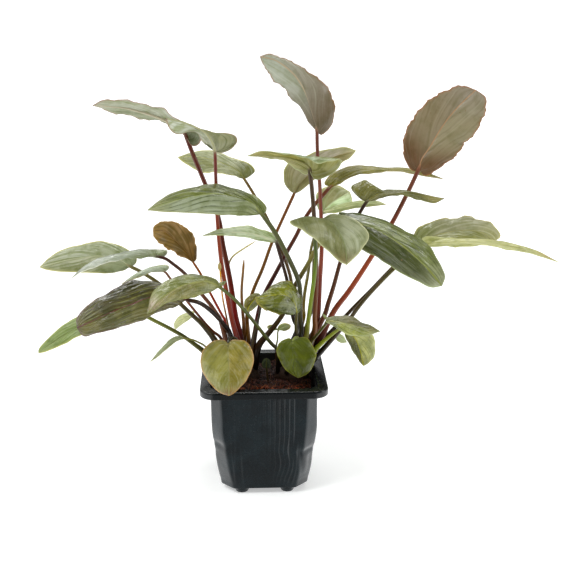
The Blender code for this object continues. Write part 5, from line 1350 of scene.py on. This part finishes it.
def build_litter():
    """Bark flakes, coir fibres and crumbs lying on the soil, at random but the same in each run."""
    rng = np.random.default_rng(LITTER_SEED)
    reach = body_size(SOIL_TOP, POT_WALL)[0] / 2 - 2.5
    flakes = Mesh()
    for x, y in rng.uniform(-reach, reach, (CHIP_COUNT, 2)):
        length = rng.uniform(*CHIP_LENGTH)
        size = (length, length * rng.uniform(*CHIP_WIDTH_SHARE), rng.uniform(*CHIP_HEIGHT))
        turn = (rng.uniform(0, FULL_TURN), rng.normal(0, CHIP_TILT), rng.normal(0, CHIP_TILT))
        centre = np.array((x, y, crumbly(x, y) + rng.uniform(*CHIP_LIFT)))
        flakes.add(box_chip(centre, size, turn, rng), BOX_FACES, 0, half=rng.random())
    for x, y in rng.uniform(-reach, reach, (CRUMB_COUNT, 2)):
        size = rng.uniform(*CRUMB_SIZE)
        turn = rng.uniform(0, FULL_TURN, 3)
        centre = np.array((x, y, crumbly(x, y) + 0.2 * size))
        flakes.add(box_chip(centre, (size, size, size), turn, rng), BOX_FACES, 0, half=rng.random())
    chips = flakes.make("bark_flakes", [soil_skin("bark", 3.0)])
    soft_edges(chips)
    threads = Mesh()
    near = reach - 1.0
    for x, y in rng.uniform(-near, near, (FIBRE_COUNT, 2)):
        length = rng.uniform(*FIBRE_LENGTH)
        aligned = rng.random() < FIBRE_ALIGNED
        heading = rng.normal(*FIBRE_HEADING) if aligned else rng.uniform(0, FULL_TURN)
        bend = rng.normal(0, FIBRE_BEND)
        lift = rng.uniform(*FIBRE_LIFT)
        thick = rng.uniform(*FIBRE_THICK)
        line = []
        for share in np.linspace(0.0, 1.0, FIBRE_STEPS):
            x, y = (float(np.clip(value, -reach, reach)) for value in (x, y))
            line.append((x, y, crumbly(x, y) + lift * (0.4 + math.sin(math.pi * share))))
            heading += bend * length / FIBRE_STEPS * 2.0 + rng.normal(0, FIBRE_WOBBLE)
            x += math.cos(heading) * length / (FIBRE_STEPS - 1)
            y += math.sin(heading) * length / (FIBRE_STEPS - 1)
        radius = thick * (1.0 - 0.6 * np.linspace(0.0, 1.0, FIBRE_STEPS))
        tone = np.full(FIBRE_STEPS, rng.random())
        add_tube(threads, np.array(line), radius, 0.6 * radius, (0.0, 0.0, 1.0), 0, tone, FIBRE_SIDES, 0.0)
    return chips, threads.make("coir_fibres", [fibre_skin()])


def soft_edges(obj):
    """Bevel an object's edges a little, and replace its mesh by the bevelled one."""
    bevel = obj.modifiers.new("soft_edges", "BEVEL")
    bevel.width = CHIP_BEVEL * MM
    bevel.segments = 1
    bpy.context.view_layer.update()
    mesh = bpy.data.meshes.new_from_object(obj.evaluated_get(bpy.context.evaluated_depsgraph_get()))
    obj.modifiers.clear()
    obj.data = mesh


def painted_crown_shade(skin):
    """Painted shade: the soil and its fibres darken from the front strip back towards the crowns, where the
    leaves shade them.
    """
    skin.paint("070302", skin.split("Y"), -26.0 * MM, -12.0 * MM, 0.8)


def soil_skin(name, seed):
    skin = Skin(name, "0a0402")
    tone = skin.attr("half")
    grain = skin.noise(0.8, 5.0, seed=seed)
    skin.paint("40180a", tone, 0.2, 0.7)
    skin.paint("86421e", tone, 0.7, 0.92)
    skin.paint("b88a58", tone, 0.95, 0.99)
    skin.paint("120604", grain, 0.4, 0.65, 0.64)
    # Painted shade towards the crowns.
    painted_crown_shade(skin)
    skin.bump(grain, 0.6, 0.25)
    skin.bump(skin.noise(0.25, 3.0, seed=seed + 1.0), 0.5, 0.08)
    return skin.finish(skin.step(grain, 0.3, 0.7, 0.7, 0.95), 0.3)


def fibre_skin():
    skin = Skin("coir_fibre", "180603")
    tone = skin.attr("along")
    skin.paint("9c4218", tone, 0.05, 0.6)
    skin.paint("dc8a48", tone, 0.7, 1.0)
    # Painted shade towards the crowns.
    painted_crown_shade(skin)
    return skin.finish(0.5, 0.3)


def build_crown(side):
    """Short creeping rhizome, ringed by leaf scars."""
    centre = np.array(CROWNS[side])
    points = []
    tones = []
    for i in range(1, CROWN_RINGS):
        polar = math.pi * i / CROWN_RINGS
        for k in range(CROWN_SPOKES):
            turn = 2 * math.pi * k / CROWN_SPOKES
            flat = math.sin(polar)
            way = np.array((flat * math.cos(turn), flat * math.sin(turn), math.cos(polar)))
            where = centre + way * CROWN_SIZE
            scar = abs(math.sin(where[0] * SCAR_TURN + 0.8 * math.sin(where[1] * 0.6)))
            rough = sum(size * noise.noise(Vector(where * scale)) for size, scale in CROWN_LUMPS)
            points.append(where + way * (rough - SCAR_DEPTH * (1.0 - scar) ** 3))
            tones.append(scar)
    points += [centre + (0.0, 0.0, CROWN_SIZE[2]), centre - (0.0, 0.0, CROWN_SIZE[2])]
    piece = Mesh()
    piece.add(points, capped_faces(CROWN_RINGS - 1, CROWN_SPOKES), 0, half=np.array(tones + [0.5, 0.5]))
    skin = Skin("rhizome_" + side, "120806")
    fibre = skin.noise(0.7, 4.0, (1.0, 1.0, 0.35))
    skin.paint("2c1a10", skin.attr("half"), 0.1, 0.5)
    skin.paint("4a3018", fibre, 0.4, 0.7, 0.5)
    skin.bump(fibre, 0.6, 0.3)
    return piece.make("rhizome_" + side, [skin.finish(0.75, 0.3)])


def take(piece, node):
    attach(piece, "root")
    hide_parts(node)


def build_plant():
    specs = {**LEAVES, **SPIKES}
    paths = {name: stem_path(spec) for name, spec in specs.items()}
    radii = {name: stem_radii(spec, len(paths[name])) for name, spec in specs.items()}
    paths = settle(paths, radii)
    for number, (name, spec) in enumerate(LEAVES.items()):
        piece = build_leaf(name, spec, paths[name], radii[name], 1.7 * number)
        take(piece, name)
    for name, spec in SPIKES.items():
        take(build_spike(name, spec, paths[name], radii[name], 3.0), name)
    for side in CROWNS:
        take(build_crown(side), "crown_" + side)


def build_container():
    take(build_pot(), "pot")
    take(build_soil(), "soil")
    for piece in build_litter():
        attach(piece, "root")


def floor_skin():
    """White paper; mirrored in glossy things it is dim before and behind the pot and bright at the sides."""
    paper = Skin("paper", "f4f6f5")
    paper.put(paper.shader.inputs["Emission Color"], "ffffff")
    paper.put(paper.shader.inputs["Emission Strength"], FLOOR_GLOW)
    material = paper.finish(0.85, 0.1)
    material.cycles.emission_sampling = "NONE"
    behind = paper.times(paper.math("ABSOLUTE", paper.split("Y")), FLOOR_WEDGE)
    aside = paper.math("SUBTRACT", paper.math("ABSOLUTE", paper.split("X")), behind)
    mirrored = paper.node("Emission", {"Strength": paper.step(aside, *FLOOR_SIDES)})
    glossy = paper.node("LightPath", output="Is Glossy Ray")
    either = paper.node("MixShader", {0: glossy, 1: paper.shader.outputs[0], 2: mirrored})
    paper.put(paper.tree.nodes["Material Output"].inputs["Surface"], either)
    return material


class Room(Skin):
    """White surroundings with soft boxes that show in glossy things only."""

    def __init__(self, name):
        self.world = bpy.data.worlds.new(name)
        self.world.use_nodes = True
        self.world.cycles.sampling_method = "NONE"
        self.tree = self.world.node_tree
        self.place = self.node("TexCoord", output="Generated")

    def light(self):
        mirrored = ROOM_MIRRORED
        for towards, reach, strength in CARDS:
            both = {0: self.place, 1: Vector(towards).normalized()}
            facing = self.node("VectorMath", both, "Value", operation="DOT_PRODUCT")
            edge = [math.cos(math.radians(angle)) for angle in (reach * 1.25, reach * 0.75)]
            mirrored = self.math("ADD", mirrored, self.step(facing, *edge, 0.0, strength))
        seen = self.times(self.node("LightPath", output="Is Camera Ray"), ROOM_SEEN - ROOM_LIGHT)
        glossy = self.node("LightPath", output="Is Glossy Ray")
        extra = self.times(glossy, self.math("SUBTRACT", mirrored, ROOM_LIGHT))
        strength = self.math("ADD", self.math("ADD", seen, ROOM_LIGHT), extra)
        background = self.tree.nodes["Background"].inputs
        self.put(background["Strength"], strength)
        self.put(background["Color"], "ffffff")
        return self.world


def build_studio():
    """Pale floor, white surroundings, soft lights and the camera of the photograph."""
    bm = bmesh.new()
    bmesh.ops.create_grid(bm, x_segments=2, y_segments=2, size=FLOOR_SIZE)
    mesh = bpy.data.meshes.new("floor")
    bm.to_mesh(mesh)
    bm.free()
    floor = link(bpy.data.objects.new("floor", mesh))
    mesh.materials.append(floor_skin())
    bpy.context.scene.world = Room("white_room").light()
    for name, towards, power, spread_angle in LIGHTS:
        lamp = bpy.data.lights.new(name, "SUN")
        lamp.energy = power
        lamp.angle = math.radians(spread_angle)
        obj = link(bpy.data.objects.new(name, lamp))
        obj.rotation_euler = (-Vector(towards)).to_track_quat("-Z", "Y").to_euler()
    lens = bpy.data.cameras.new("photo_camera")
    lens.sensor_width = 36.0
    lens.lens = lens.sensor_width * PHOTO_FOCAL / PHOTO_SIZE
    lens.clip_start = 0.01
    camera = link(bpy.data.objects.new("photo_camera", lens))
    camera.location = Vector(CAMERA) * MM
    camera.rotation_euler = (math.radians(90.0 - CAMERA_PITCH), 0.0, math.radians(-CAMERA_TURN))
    bpy.context.scene.camera = camera
    bpy.context.scene.view_settings.view_transform = "Standard"


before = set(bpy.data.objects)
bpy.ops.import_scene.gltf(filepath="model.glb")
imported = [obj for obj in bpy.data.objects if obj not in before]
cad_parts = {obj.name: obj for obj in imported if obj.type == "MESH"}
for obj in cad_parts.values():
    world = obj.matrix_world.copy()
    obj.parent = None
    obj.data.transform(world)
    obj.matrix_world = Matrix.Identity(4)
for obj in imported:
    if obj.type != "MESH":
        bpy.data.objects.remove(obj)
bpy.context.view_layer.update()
build_container()
build_plant()
build_studio()
